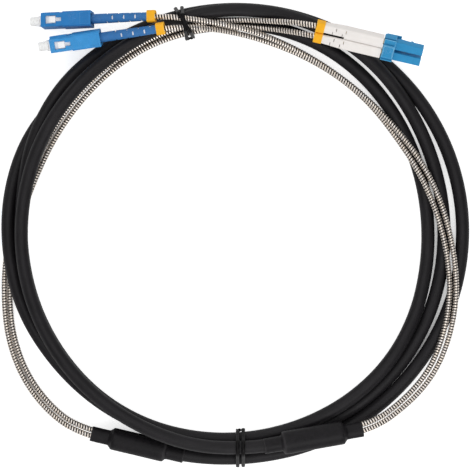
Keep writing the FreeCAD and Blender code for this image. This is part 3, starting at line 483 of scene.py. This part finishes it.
def cable_jacket():
    """Black extruded jacket: drawn lines along its length, scuffs and dust"""
    finish, bench, into = new_finish("cable jacket", Specular_IOR_Level=0.2)
    lay = bench.noted("lay", "Vector")
    rubbed = bench.stretched(lay, (70.0, 1.6, 1.6))
    lines = bench.noise(bench.stretched(lay, (14.0, 9.0, 9.0)), 1.0, 4.0, 0.6)
    cloud = bench.noise(rubbed, 1.0, 3.0, 0.55)
    skin = bench.noise(bench.own_place(), 2600.0, 3.0, 0.6)
    base = bench.mix(bench.spread(cloud, 0.3, 0.7), plain(22, 21, 23), plain(32, 30, 33))
    scratch = bench.group(SCUFFS, {"Where": rubbed, "Fineness": 3.2, "Amount": 0.3})["Mask"]
    film = bench.group(DUST, {"Amount": 0.02})["Mask"]
    rubbed_colour = bench.mix(scratch, base, plain(74, 72, 74))
    bench.feed(into["Base Color"], bench.mix(film, rubbed_colour, DUST_ON_BLACK))
    dull = bench.spread(lines, 0.3, 0.7, 0.4, 0.56)
    bench.feed(into["Roughness"], bench.math("MULTIPLY_ADD", scratch, 0.25, dull))
    height = bench.math("MULTIPLY_ADD", lines, 0.6, bench.math("MULTIPLY", skin, 0.4))
    bench.raise_skin(into["Normal"], height, 0.35, 0.00006)
    return finish


def spiral_armour():
    """Stainless strip wound into ribs: bright tops with warm tints, and painted shade, near black, in the
    gaps
    """
    finish, bench, into = new_finish("spiral armour", Metallic=0.85)
    lay = bench.noted("lay", "Vector")
    groove = bench.noted("groove")
    tint = bench.noise(bench.stretched(lay, (260.0, 1.1, 1.1)), 1.0, 3.0, 0.6)
    brushed = bench.noise(bench.stretched(lay, (2400.0, 2.5, 2.5)), 1.0)
    tops = bench.mix(bench.spread(tint, 0.35, 0.65), plain(246, 240, 236), plain(249, 236, 220))
    # The gaps between the ribs are painted near black, a painted shade
    bench.feed(into["Base Color"], bench.mix(bench.spread(groove, 0.1, 0.7), tops, plain(15, 13, 12)))
    rough = bench.spread(brushed, 0.3, 0.7, 0.26, 0.42)
    bench.feed(into["Roughness"], bench.math("MULTIPLY_ADD", groove, 0.3, rough))
    bench.raise_skin(into["Normal"], brushed, 0.2, FINE_SKIN)
    return finish


def heat_shrink():
    """Black shrunk sleeve: fine wrinkles, satin, with a painted highlight along the cut edges"""
    finish, bench, into = new_finish("heat shrink", Specular_IOR_Level=0.14)
    where = bench.own_place()
    wrinkle = bench.noise(where, 420.0, 4.0, 0.6)
    skin = bench.noise(where, 3000.0)
    base = bench.mix(bench.spread(wrinkle, 0.35, 0.65), plain(19, 18, 20), plain(28, 26, 29))
    film = bench.group(DUST, {"Amount": 0.02})["Mask"]
    # Painted highlight along the cut edges of the sleeve
    edge_highlight = bench.mix(bench.noted("rim_highlight"), base, plain(52, 50, 52))
    bench.feed(into["Base Color"], bench.mix(film, edge_highlight, DUST_ON_BLACK))
    bench.feed(into["Roughness"], bench.spread(wrinkle, 0.3, 0.7, 0.34, 0.52))
    height = bench.math("MULTIPLY_ADD", wrinkle, 0.8, bench.math("MULTIPLY", skin, 0.2))
    bench.raise_skin(into["Normal"], height, 0.3, 0.0002)
    return finish


def worked_metal(name, light, dark, gloss):
    """Turned or drawn metal with fine tool lines"""
    finish, bench, into = new_finish(name, Metallic=1.0)
    where = bench.own_place()
    lines = bench.noise(where, 3500.0, 3.0, 0.65)
    cloud = bench.noise(where, 500.0)
    bench.feed(into["Base Color"], bench.mix(bench.spread(cloud, 0.35, 0.65), light, dark))
    bench.feed(into["Roughness"], bench.spread(lines, 0.3, 0.7, gloss[0], gloss[1]))
    bench.raise_skin(into["Normal"], lines, 0.2, 0.00002)
    return finish


def milky_cap():
    """Soft clear plastic, a little cloudy"""
    finish, bench, into = new_finish("milky cap", Transmission_Weight=0.12, IOR=1.3, Specular_IOR_Level=0.2)
    body = bench.group(GRAIN, {
        "Colour": plain(253, 253, 252), "Mottle": 0.01, "Gloss Low": 0.22, "Gloss High": 0.38,
        "Grain": 2500.0})
    bench.feed(into["Base Color"], body["Colour"])
    bench.feed(into["Roughness"], body["Roughness"])
    bench.raise_skin(into["Normal"], body["Height"], 0.1, FINE_SKIN)
    return finish


# The second colour given to each moulded plastic is the painted highlight on its rounded edges
FINISHES = {
    "jacket": cable_jacket(),
    "armour": spiral_armour(),
    "heat_shrink": heat_shrink(),
    "core": moulded_plastic("breakout core", plain(58, 58, 60), plain(84, 84, 86), (0.45, 0.6)),
    "tie": moulded_plastic(
        "twist tie", plain(14, 13, 14), plain(22, 21, 22), (0.3, 0.4), mottle=0.1, grain=3000.0, skin=0.1,
        dust=0.002, Specular_IOR_Level=0.1),
    "blue_plastic": moulded_plastic(
        "blue housing", plain(36, 121, 188), plain(92, 162, 212), (0.34, 0.5), Specular_IOR_Level=SATIN),
    # Copy of the blue housing painted lighter, for the light falling on the second push-pull plug
    "lit_blue": moulded_plastic(
        "blue housing painted lighter", plain(56, 144, 208), plain(116, 184, 229), (0.34, 0.5),
        Specular_IOR_Level=SATIN),
    "blue_boot": moulded_plastic(
        "blue boot", plain(50, 110, 170), plain(84, 140, 192), (0.46, 0.6), mottle=0.08,
        Specular_IOR_Level=SATIN),
    "lc_blue": moulded_plastic(
        "duplex blue", plain(40, 138, 190), plain(120, 188, 222), (0.34, 0.5), Specular_IOR_Level=SATIN),
    "white_boot": moulded_plastic(
        "white boot", plain(236, 231, 227), plain(246, 243, 240), (0.42, 0.56), mottle=0.02),
    "white_plastic": moulded_plastic(
        "white frame", plain(246, 245, 246), plain(252, 252, 252), (0.3, 0.45), mottle=0.02),
    "ceramic": moulded_plastic(
        "ferrule ceramic", plain(238, 236, 230), plain(246, 245, 240), (0.12, 0.2), mottle=0.01,
        grain=9000.0, skin=0.03, dust=0.0),
    "flange_metal": worked_metal("flange metal", plain(198, 196, 192), plain(172, 170, 166), (0.25, 0.4)),
    "spring_steel": worked_metal("spring steel", plain(168, 168, 170), plain(132, 132, 134), (0.22, 0.36)),
    "crimp_metal": worked_metal("crimp metal", plain(206, 190, 150), plain(178, 160, 122), (0.3, 0.45)),
    "yellow_plastic": moulded_plastic(
        "marker yellow", plain(246, 178, 30), plain(255, 204, 84), (0.4, 0.55), mottle=0.04,
        Specular_IOR_Level=SATIN),
    "clear_cap": milky_cap(),
}


def wear(piece, slot, finish=None):
    piece.data.materials.clear()
    piece.data.materials.append(FINISHES[finish or slot])


# Camera first: straight down through a long lens, framed as the photograph is
FRAME_WIDE = 245.34
FRAME_LEVEL = 9.0
FRAME_MIDDLE = -0.42
LENS = 1000.0
SENSOR = 36.0
lens_data = bpy.data.cameras.new("overhead_camera")
lens_data.lens = LENS
lens_data.sensor_width = SENSOR
overhead = placed("overhead_camera", lens_data)
overhead.location = (0.0, FRAME_MIDDLE * MM, (FRAME_WIDE * LENS / SENSOR + FRAME_LEVEL) * MM)
bpy.context.scene.camera = overhead

# Cable
cable_route = coil_route()
cable_line = smooth_line(cable_route, CABLE_STEPS)
cable = tube("coiled_cable", cable_line, CABLE_SPOKES, round_shape(CABLE_DIA))
wear(cable, "jacket")
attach(cable, CORD_BODY)
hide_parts("main_cable")

# Legs: each one's route, real length and the pieces of the plug on its end
SC_NODES = ("boot", "marker_ring", "coupling_sleeve", "plug_frame", "dust_cap")
LC_NODES = ("boot", "marker_ring", "plug_housing", "latch")
legs = {}
for number, (middle, plug, side, real) in enumerate(zip(SC_LEGS, SC_SEATS, (-1, 1), SC_LEG_LENGTHS), 1):
    route = leg_route(RIGHT_BREAKOUT, side * LEG_SPREAD / 2, middle, plug, 0.0, SC_LEG_ENDS)
    legs["sc_leg_%d" % number] = (route, real, "sc_%d_" % number, SC_NODES)
for number, (middle, across, side, real) in enumerate(zip(LC_LEGS, LC_SIDES, (1, -1), LC_LEG_LENGTHS), 1):
    route = leg_route(LEFT_BREAKOUT, side * LEG_SPREAD / 2, middle, LC_SEAT, across, LC_LEG_ENDS)
    legs["lc_leg_%d" % number] = (route, real, "lc_%d_" % number, LC_NODES)

# Small cuts in the plugs' pieces: middle and size of each block, in millimetres of the plug's frame,
# which is the upright one for the duplex plug
BLOCK_SIGNS = [(x, y, z) for x in (-1, 1) for y in (-1, 1) for z in (-1, 1)]
BLOCK_FACES = [(0, 1, 3, 2), (4, 6, 7, 5), (0, 4, 5, 1), (2, 3, 7, 6), (0, 2, 6, 4), (1, 5, 7, 3)]
NICK_PLACES = [-34.85, -40.95, -47.05, -53.15]
NICK_SIDE = 2.9
NICK_SIZE = (0.75, 2.0, 4.0)
GRIP_PANEL = ((-23.3, 0.0, 4.5), (4.6, 6.0, 0.5))
SLEEVE_NOTCHES = [((-8.6, -3.7, 4.5), (6.4, 1.0, 1.0)), ((-11.6, 3.7, 4.5), (1.6, 0.8, 1.0))]
BOOT_PARTING = ((-47.4, -0.55, 0.0), (11.6, 0.95, 18.0))
BOOT_FRONT_GAP = ((-21.0, 0.0, 0.0), (0.6, 20.0, 16.0))
CUTS = {
    "sc_boot": [((along, side * NICK_SIDE, 0.0), NICK_SIZE) for along in NICK_PLACES for side in (-1, 1)],
    "sc_coupling_sleeve": [GRIP_PANEL] + SLEEVE_NOTCHES,
    "lc_boot": [BOOT_PARTING, BOOT_FRONT_GAP],
}
CLIP_GROOVES = [
    ((-17.7, 4.375, 6.0), (6.6, 0.55, 4.2)), ((-17.9, 1.4, 6.0), (5.2, 0.6, 4.4)),
    ((-17.7, -6.1, 1.8), (6.6, 0.6, 4.8)),
]

# Moulded pieces: how wide their edges are broken, and those whose finish isn't that of their slot
EDGE_WIDTHS = {
    "sc_boot": 0.12, "sc_marker_ring": 0.2, "sc_coupling_sleeve": 0.22, "sc_plug_frame": 0.12,
    "sc_dust_cap": 0.2, "sc_ferrule": 0.06, "lc_boot": 0.14, "lc_marker_ring": 0.2, "lc_plug_housing": 0.14,
    "lc_latch": 0.12, "lc_ferrule": 0.06, "lc_duplex_clip": 0.3,
}
EDGE_STEPS = 3
WELD_REACH = 0.000004
FLAT_TURN = math.radians(1.0)
OTHER_FINISHES = {
    # The second push-pull plug's sleeve takes the copy painted lighter
    "sc_2_coupling_sleeve": "lit_blue", "lc_1_plug_housing": "lc_blue", "lc_2_plug_housing": "lc_blue",
    "lc_1_latch": "lc_blue", "lc_2_latch": "lc_blue", "lc_duplex_clip": "lc_blue",
}
PLUGS = [
    ("sc", 1, SC_SEATS[0], SC_NODES), ("sc", 2, SC_SEATS[1], SC_NODES),
    ("lc", 1, LC_LEVEL, LC_NODES), ("lc", 2, LC_LEVEL, LC_NODES),
]


def body_of_node(node):
    for body, nodes in frame["record"]["behaviour"]["bodies"].items():
        if node in nodes:
            return body
    return CORD_BODY


def slot_of_node(node):
    return next(row["material_slot"] for row in frame["record"]["subparts"] if row["node"] == node)


def block_corners(place, middle, size):
    """Corners of a block in a plug's frame"""
    return [spot(place, *(centre + sign * length / 2 for centre, sign, length in zip(middle, signs, size)))
            for signs in BLOCK_SIGNS]


def cut_mesh(whole, place, blocks):
    """Copy of a mesh with blocks of a plug's frame taken out"""
    shell = placed("whole_form", whole.copy())
    corners = []
    faces = []
    for middle, size in blocks:
        faces += [[len(corners) + corner for corner in face] for face in BLOCK_FACES]
        corners += block_corners(place, middle, size)
    cutter = piece_from("cutting_blocks", corners, faces, False)
    cut = shell.modifiers.new("cut", "BOOLEAN")
    cut.object = cutter
    cut.operation = "DIFFERENCE"
    cut.solver = "EXACT"
    seen = shell.evaluated_get(bpy.context.evaluated_depsgraph_get())
    mesh = bpy.data.meshes.new_from_object(seen)
    for done in (shell, cutter):
        form = done.data
        bpy.data.objects.remove(done)
        bpy.data.meshes.remove(form)
    return mesh


def broken_edges(node, width, form, grooves=None):
    """Piece for a node: its form with the sharp edges rounded a little and the rounding marked for a painted
    highlight, then the grooves cut in
    """
    name = "dressed_" + node
    solid = bmesh.new()
    solid.from_mesh(form)
    edge_highlight = solid.faces.layers.float.new("edge_highlight")
    bmesh.ops.remove_doubles(solid, verts=solid.verts, dist=WELD_REACH)
    bmesh.ops.dissolve_limit(solid, angle_limit=FLAT_TURN, verts=solid.verts, edges=solid.edges)
    sharp = [line for line in solid.edges
             if len(line.link_faces) == 2 and line.calc_face_angle(0.0) > SHARP_TURN]
    rounded = bmesh.ops.bevel(solid, geom=sharp, offset=width * MM, segments=EDGE_STEPS, profile=0.5,
                              affect="EDGES", clamp_overlap=True)
    # The rounded faces are marked for the painted highlight
    for face in rounded["faces"]:
        face[edge_highlight] = 1.0
    mesh = bpy.data.meshes.new(name)
    solid.to_mesh(mesh)
    solid.free()
    if grooves:
        whole = mesh
        mesh = cut_mesh(whole, LC_LEVEL, grooves)
        bpy.data.meshes.remove(whole)
        mesh.name = name
    mesh.polygons.foreach_set("use_smooth", [True] * len(mesh.polygons))
    mesh.set_sharp_from_angle(angle=SHARP_TURN)
    piece = placed(name, mesh)
    wear(piece, slot_of_node(node), OTHER_FINISHES.get(node))
    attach(piece, body_of_node(node))
    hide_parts(node)
    return piece


dressed = {}
for family, number, place, kinds in PLUGS:
    for kind in kinds + ("ferrule",):
        part = "%s_%s" % (family, kind)
        node = "%s_%d_%s" % (family, number, kind)
        form = frame["nodes"][node].data
        if part in CUTS:
            form = cut_mesh(form, place, CUTS[part])
        dressed[node] = broken_edges(node, EDGE_WIDTHS[part], form)
clip = "lc_duplex_clip"
dressed[clip] = broken_edges(clip, EDGE_WIDTHS[clip], frame["nodes"][clip].data, CLIP_GROOVES)

for name, (route, real, tag, kinds) in legs.items():
    line = smooth_line(route, LEG_STEPS)
    leg = tube("armoured_" + name, line, LEG_SPOKES, armour_shape)
    wear(leg, "armour")
    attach(leg, CORD_BODY)
    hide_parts(name)
    held = [dressed[tag + kind] for kind in kinds]
    if tag.startswith("lc"):
        held.append(dressed[clip])

# White tubes inside the push-pull boots, near the surface, seen through the slots as painted bright flecks
# in place of the steel glinting inside
GLINT_LINER_DIA = 4.0
GLINT_LINER_PLACES = (-34.0, -44.0, -54.0)
GLINT_LINER_SPOKES = 24
for number, place in enumerate(SC_SEATS, 1):
    glint_liner_line = [spot(place, along) for along in GLINT_LINER_PLACES]
    glint_liner = tube("white_glint_liner_%d" % number, glint_liner_line, GLINT_LINER_SPOKES, round_shape(GLINT_LINER_DIA))
    glint_liner.data.set_sharp_from_angle(angle=SHARP_TURN)
    wear(glint_liner, "white_plastic")
    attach(glint_liner, CORD_BODY)

# Twist ties: rounded strands laid where the solid loops run
TIE_WIDE = 1.9
TIE_THICK = 1.2
TIE_SLACK = 0.03
TIE_SPACING = 0.4
TIE_SMOOTHINGS = 4
TIE_SPOKES = 16
TIE_ROUNDING = 0.8
TIE_LOOPS = {
    "top_twist_tie": [((-26.5, 110.5), 122.0), ((-26.5, 110.5), 99.0)],
    "bottom_twist_tie": [((1.4, -111.0), 90.0), ((4.3, -111.0), 90.0)],
}
# The two ends of a tie, wound round each other, with blunt tips
END_LENGTH = 4.8
END_STEPS = 24
END_TURNS = 1.3
END_OFFSET = 0.42
END_RADIUS = 0.46
END_SPOKES = 12
TIP_SHARE = 0.35
TIP_SWELL = 6


def neighbours(loop):
    """Each point of a closed line, with the points before and after it"""
    return zip(loop[-1:] + loop[:-1], loop, loop[1:] + loop[:1])


def loop_line(node, point, heading):
    """Even middle line of one loop of a tie and the direction across it"""
    side = Vector((math.cos(math.radians(heading)), math.sin(math.radians(heading)), 0))
    across = Vector((-side.y, side.x, 0))
    flat = []
    for vertex in frame["nodes"][node].data.vertices:
        away = vertex.co - point
        if abs(away.dot(across)) < (TIE_WIDE / 2 + TIE_SLACK) * MM:
            flat.append(Vector((away.dot(side), away.z)))
    hull = [flat[index] for index in geometry.convex_hull_2d(flat)]
    even = []
    for here, there in zip(hull, hull[1:] + hull[:1]):
        pieces = max(1, round((there - here).length / (TIE_SPACING * MM)))
        even += [here.lerp(there, piece / pieces) for piece in range(pieces)]
    for smoothing in range(TIE_SMOOTHINGS):
        even = [(before + here * 2 + after) / 4 for before, here, after in neighbours(even)]
    middle = sum(even, Vector((0, 0))) / len(even)
    line = []
    for before, here, after in neighbours(even):
        tangent = (after - before).normalized()
        outward = Vector((tangent.y, -tangent.x))
        if outward.dot(here - middle) < 0:
            outward.negate()
        flat_spot = here - outward * (TIE_THICK / 2 * MM)
        line.append((point + side * flat_spot.x + Vector((0, 0, flat_spot.y)),
                     side * outward.x + Vector((0, 0, outward.y))))
    return line, across


def strand_ring(place, across, outward):
    """Flat section of a tie's strand, with rounded corners"""
    ring = []
    for turn in spoke_turns(TIE_SPOKES):
        wide = math.copysign(abs(math.cos(turn)) ** TIE_ROUNDING, math.cos(turn)) * TIE_WIDE / 2 * MM
        thick = math.copysign(abs(math.sin(turn)) ** TIE_ROUNDING, math.sin(turn)) * TIE_THICK / 2 * MM
        ring.append(place + across * wide + outward * thick)
    return ring


def twisted_ends(knot, inward):
    """Rings of the two strand ends, wound round each other beside the loops"""
    along = Vector((inward.y, -inward.x, 0))
    up = Vector((0, 0, 1))
    start = knot - along * (TIE_WIDE / 2 * MM) + inward * (TIE_THICK / 4 * MM)
    strands = []
    for strand in (0, 1):
        rings = []
        for step in range(END_STEPS + 1):
            share = step / END_STEPS
            turn = 2 * math.pi * END_TURNS * share + math.pi * strand
            place = start + along * (END_LENGTH * MM * share)
            place += (inward * math.cos(turn) + up * math.sin(turn)) * (END_OFFSET * MM)
            radius = END_RADIUS * MM * min(1.0, TIP_SHARE + TIP_SWELL * min(share, 1 - share))
            rings.append([place + (inward * math.cos(spoke) + up * math.sin(spoke)) * radius
                          for spoke in spoke_turns(END_SPOKES)])
        strands.append(rings)
    return strands


def skin_rings(corners, faces, rings, closed):
    """Add a skin over rings of points to a mesh's lists"""
    first = len(corners)
    spokes = len(rings[0])
    for ring in rings:
        corners.extend(ring)
    faces.extend(ring_faces(len(rings), spokes, first, closed))
    if not closed:
        faces.extend(end_faces(len(rings), spokes, first))


for node, loops in TIE_LOOPS.items():
    corners = []
    faces = []
    knot = None
    for (x, y), heading in loops:
        point = Vector((x, y, 0)) * MM
        line, across = loop_line(node, point, heading)
        skin_rings(corners, faces, [strand_ring(place, across, outward) for place, outward in line], True)
        if knot is None:
            inward = (COIL_CENTRE - point).normalized()
            knot = max((place for place, outward in line), key=lambda place: place.dot(inward))
            for strand in twisted_ends(knot, inward):
                skin_rings(corners, faces, strand, False)
    strands = piece_from("rounded_" + node, corners, faces)
    wear(strands, "tie")
    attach(strands, CORD_BODY)
    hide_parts(node)

# Heat-shrink sleeves over the breakouts: place along the sleeve, half width, half height, share of painted
# highlight at the cut edges
SHRINK_PROFILE = [
    (-9.4, 3.56, 3.56, 0.0), (-9.42, 3.8, 3.8, 0.8), (-9.3, 4.0, 4.0, 1.0), (-9.05, 4.05, 4.05, 0.5),
    (-8.5, 4.05, 4.05, 0.0), (-6.0, 4.06, 4.06, 0.0), (-3.0, 4.06, 4.06, 0.0), (-1.0, 4.08, 4.08, 0.0),
    (-0.3, 4.14, 4.14, 0.0), (0.2, 4.4, 4.4, 0.1), (0.6, 4.85, 4.85, 0.4), (0.95, 5.25, 5.25, 0.9),
    (1.4, 5.46, 5.46, 0.7), (2.0, 5.52, 5.52, 0.1), (4.0, 5.52, 5.52, 0.0), (10.0, 5.5, 5.5, 0.0),
    (16.0, 5.5, 5.5, 0.0), (22.0, 5.5, 5.5, 0.0), (27.0, 5.5, 5.5, 0.0), (28.4, 5.48, 5.46, 0.0),
    (28.9, 5.4, 5.3, 0.1), (29.3, 5.1, 4.8, 0.1), (30.0, 4.6, 3.8, 0.0), (30.6, 4.15, 2.9, 0.0),
    (31.0, 3.98, 2.6, 0.0), (31.6, 3.95, 2.55, 0.0),
]
SHRINK_END = [
    (-6.0, 3.95, 2.55, 0.0), (-3.0, 3.95, 2.55, 0.0), (-1.0, 3.95, 2.55, 0.0), (-0.3, 3.94, 2.54, 0.5),
    (-0.05, 3.85, 2.45, 1.0), (0.0, 3.6, 2.2, 0.8), (-0.1, 3.42, 2.02, 0.0),
]
SHRINK_SPOKES = 48
# The half widths between which a bulge sets in, and the place that parts the two shoulders
SHOULDER_RADII = (4.2, 5.5)
SHRINK_MIDDLE = 25
# Unevenness of the shrunk skin: fineness and height of two waves, and the radius that they are set against
SKIN_WAVES = [(0.35, 0.05), (1.1, 0.02)]
SKIN_RADIUS = 6


def shrink_sleeve(node, place, end, swell, cable_shift, leg_shift):
    """Shrunk sleeve: where its leg cuff ends, how much it bulges and where its shoulders lie"""
    rings = []
    for along, wide, tall, rim_highlight in SHRINK_PROFILE:
        shift = leg_shift if along > SHRINK_MIDDLE else cable_shift
        bulge = swell * soft_step(*SHOULDER_RADII, wide)
        rings.append((along + shift, wide + bulge, tall, rim_highlight))
    rings += [(end + along, wide, tall, rim_highlight) for along, wide, tall, rim_highlight in SHRINK_END]
    corners = []
    rim_highlights = []
    for along, wide, tall, rim_highlight in rings:
        for turn in spoke_turns(SHRINK_SPOKES):
            local = Vector((along, wide * math.cos(turn), tall * math.sin(turn)))
            sag = sum(noise.noise(local * fineness) * height for fineness, height in SKIN_WAVES)
            local.y *= 1 + sag / SKIN_RADIUS
            local.z *= 1 + sag / SKIN_RADIUS
            corners.append(place @ (local * MM))
            rim_highlights.append(rim_highlight)
    sleeve = piece_from("shrunk_" + node, corners, ring_faces(len(rings), SHRINK_SPOKES))
    note_values(sleeve, "rim_highlight", "FLOAT", "value", rim_highlights)
    wear(sleeve, "heat_shrink")
    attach(sleeve, CORD_BODY)
    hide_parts(node)


shrink_sleeve("left_breakout_sleeve", LEFT_BREAKOUT, end=40.4, swell=0.35, cable_shift=0.0, leg_shift=0.0)
shrink_sleeve("right_breakout_sleeve", RIGHT_BREAKOUT, end=42.4, swell=0.6, cable_shift=-0.8, leg_shift=2.8)

# Springs behind the ferrules: wound wire with closed ends
SPRING_SPOKES = 8
STEPS_A_WINDING = 26
END_CLOSING = 0.09
SC_SPRING = {"front": -8.0, "back": -16.0, "wire": 0.48, "middle_radius": 1.85, "windings": 7}
LC_SPRING = {"front": -7.9, "back": -14.0, "wire": 0.38, "middle_radius": 1.3, "windings": 6}


def wound_spring(tag, place, across, front, back, wire, middle_radius, windings):
    steps = windings * STEPS_A_WINDING
    line = []
    for step in range(steps + 1):
        share = step / steps
        eased = share - math.sin(2 * math.pi * share) * END_CLOSING
        turn = 2 * math.pi * windings * share
        along = front - wire / 2 - (front - back - wire) * eased
        sideways = across + middle_radius * math.cos(turn)
        line.append(spot(place, along, sideways, middle_radius * math.sin(turn)))
    spring = tube("wound_" + tag + "_spring", line, SPRING_SPOKES, round_shape(wire))
    wear(spring, "spring_steel")
    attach(spring, CORD_BODY)
    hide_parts(tag + "_spring")
    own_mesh(spring)


for number, place in enumerate(SC_SEATS, 1):
    wound_spring("sc_%d" % number, place, 0.0, **SC_SPRING)
for number, across in enumerate(LC_SIDES, 1):
    wound_spring("lc_%d" % number, LC_SEAT, across, **LC_SPRING)

# Inner pieces keep their solids and take a finish
for name, node in frame["nodes"].items():
    if name not in dressed:
        for holder in node.material_slots:
            holder.material = FINISHES[slot_of_node(name)]

# Floor: pale and matte, and white to the camera where nothing lies close above it; where things lie close
# above, the glow fades into a painted shade
FLOOR_SIGNS = [(-1, -1), (1, -1), (1, 1), (-1, 1)]
FLOOR_REACH = 3
FLOOR_LEVEL = -0.00095
FLOOR_GREY = (0.86, 0.86, 0.86, 1)
FLOOR_GLOW = 0.62
SHADE_REACH = 4.4
SHADE_RANGE = (0.22, 0.5)
floor_corners = [(x * FLOOR_REACH, y * FLOOR_REACH, FLOOR_LEVEL) for x, y in FLOOR_SIGNS]
floor = piece_from("pale_floor", floor_corners, [(0, 1, 2, 3)], False)
ground = bpy.data.materials.new("pale floor")
bench = cleared(ground)
matte = bench.node("ShaderNodeBsdfDiffuse", {"Color": FLOOR_GREY})
shade = bench.node("ShaderNodeAmbientOcclusion", {"Distance": SHADE_REACH * MM}, samples=8)
# The glow fades where things lie close above, a painted shade
open_above = bench.spread(shade.outputs["AO"], *SHADE_RANGE, 0.0, FLOOR_GLOW)
glow = bench.node("ShaderNodeEmission", {"Color": WHITE, "Strength": open_above})
both = bench.node("ShaderNodeAddShader", {0: matte.outputs[0], 1: glow.outputs[0]})
path = bench.node("ShaderNodeLightPath")
seen = bench.math("MAXIMUM", path.outputs["Is Camera Ray"], path.outputs["Is Transmission Ray"])
choice = bench.node("ShaderNodeMixShader", {0: seen, 1: matte.outputs[0], 2: both.outputs[0]})
bench.node("ShaderNodeOutputMaterial", {"Surface": choice.outputs[0]})
floor.data.materials.append(ground)

# World: white to the camera, soft light on the object, and darker at the left and right in reflections
WORLD_LIGHT = 0.8
MIRROR_RANGE = (0.15, 0.5)
MIRROR_ADDS = (0.45, -0.75)
world = bpy.data.worlds.new("white_studio")
bpy.context.scene.world = world
bench = cleared(world)
path = bench.node("ShaderNodeLightPath")
heading = bench.node("ShaderNodeSeparateXYZ", {0: bench.node("ShaderNodeTexCoord").outputs["Generated"]})
mirrored = bench.spread(bench.math("ABSOLUTE", heading.outputs["X"]), *MIRROR_RANGE, *MIRROR_ADDS)
light = bench.math("MULTIPLY_ADD", mirrored, path.outputs["Is Glossy Ray"], WORLD_LIGHT)
soft = bench.node("ShaderNodeBackground", {"Color": WHITE, "Strength": light})
white = bench.node("ShaderNodeBackground", {"Color": WHITE, "Strength": 1.0})
choice = bench.node("ShaderNodeMixShader", {
    0: path.outputs["Is Camera Ray"], 1: soft.outputs[0], 2: white.outputs[0]})
bench.node("ShaderNodeOutputWorld", {"Surface": choice.outputs[0]})


# Lamps

def softbox(name, place, wide, power):
    """Square lamp that faces the middle of the coil"""
    lamp = bpy.data.lights.new(name, "AREA")
    lamp.shape = "SQUARE"
    lamp.size = wide
    lamp.energy = power
    holder = placed(name, lamp)
    holder.location = place
    holder.rotation_euler = (-Vector(place)).to_track_quat("-Z", "Y").to_euler()


softbox("key_softbox", place=(0.35, -0.75, 0.95), wide=0.7, power=3.6)
softbox("fill_softbox", place=(-0.6, 0.5, 1.1), wide=0.8, power=1.8)

bpy.context.scene.view_settings.view_transform = "Standard"
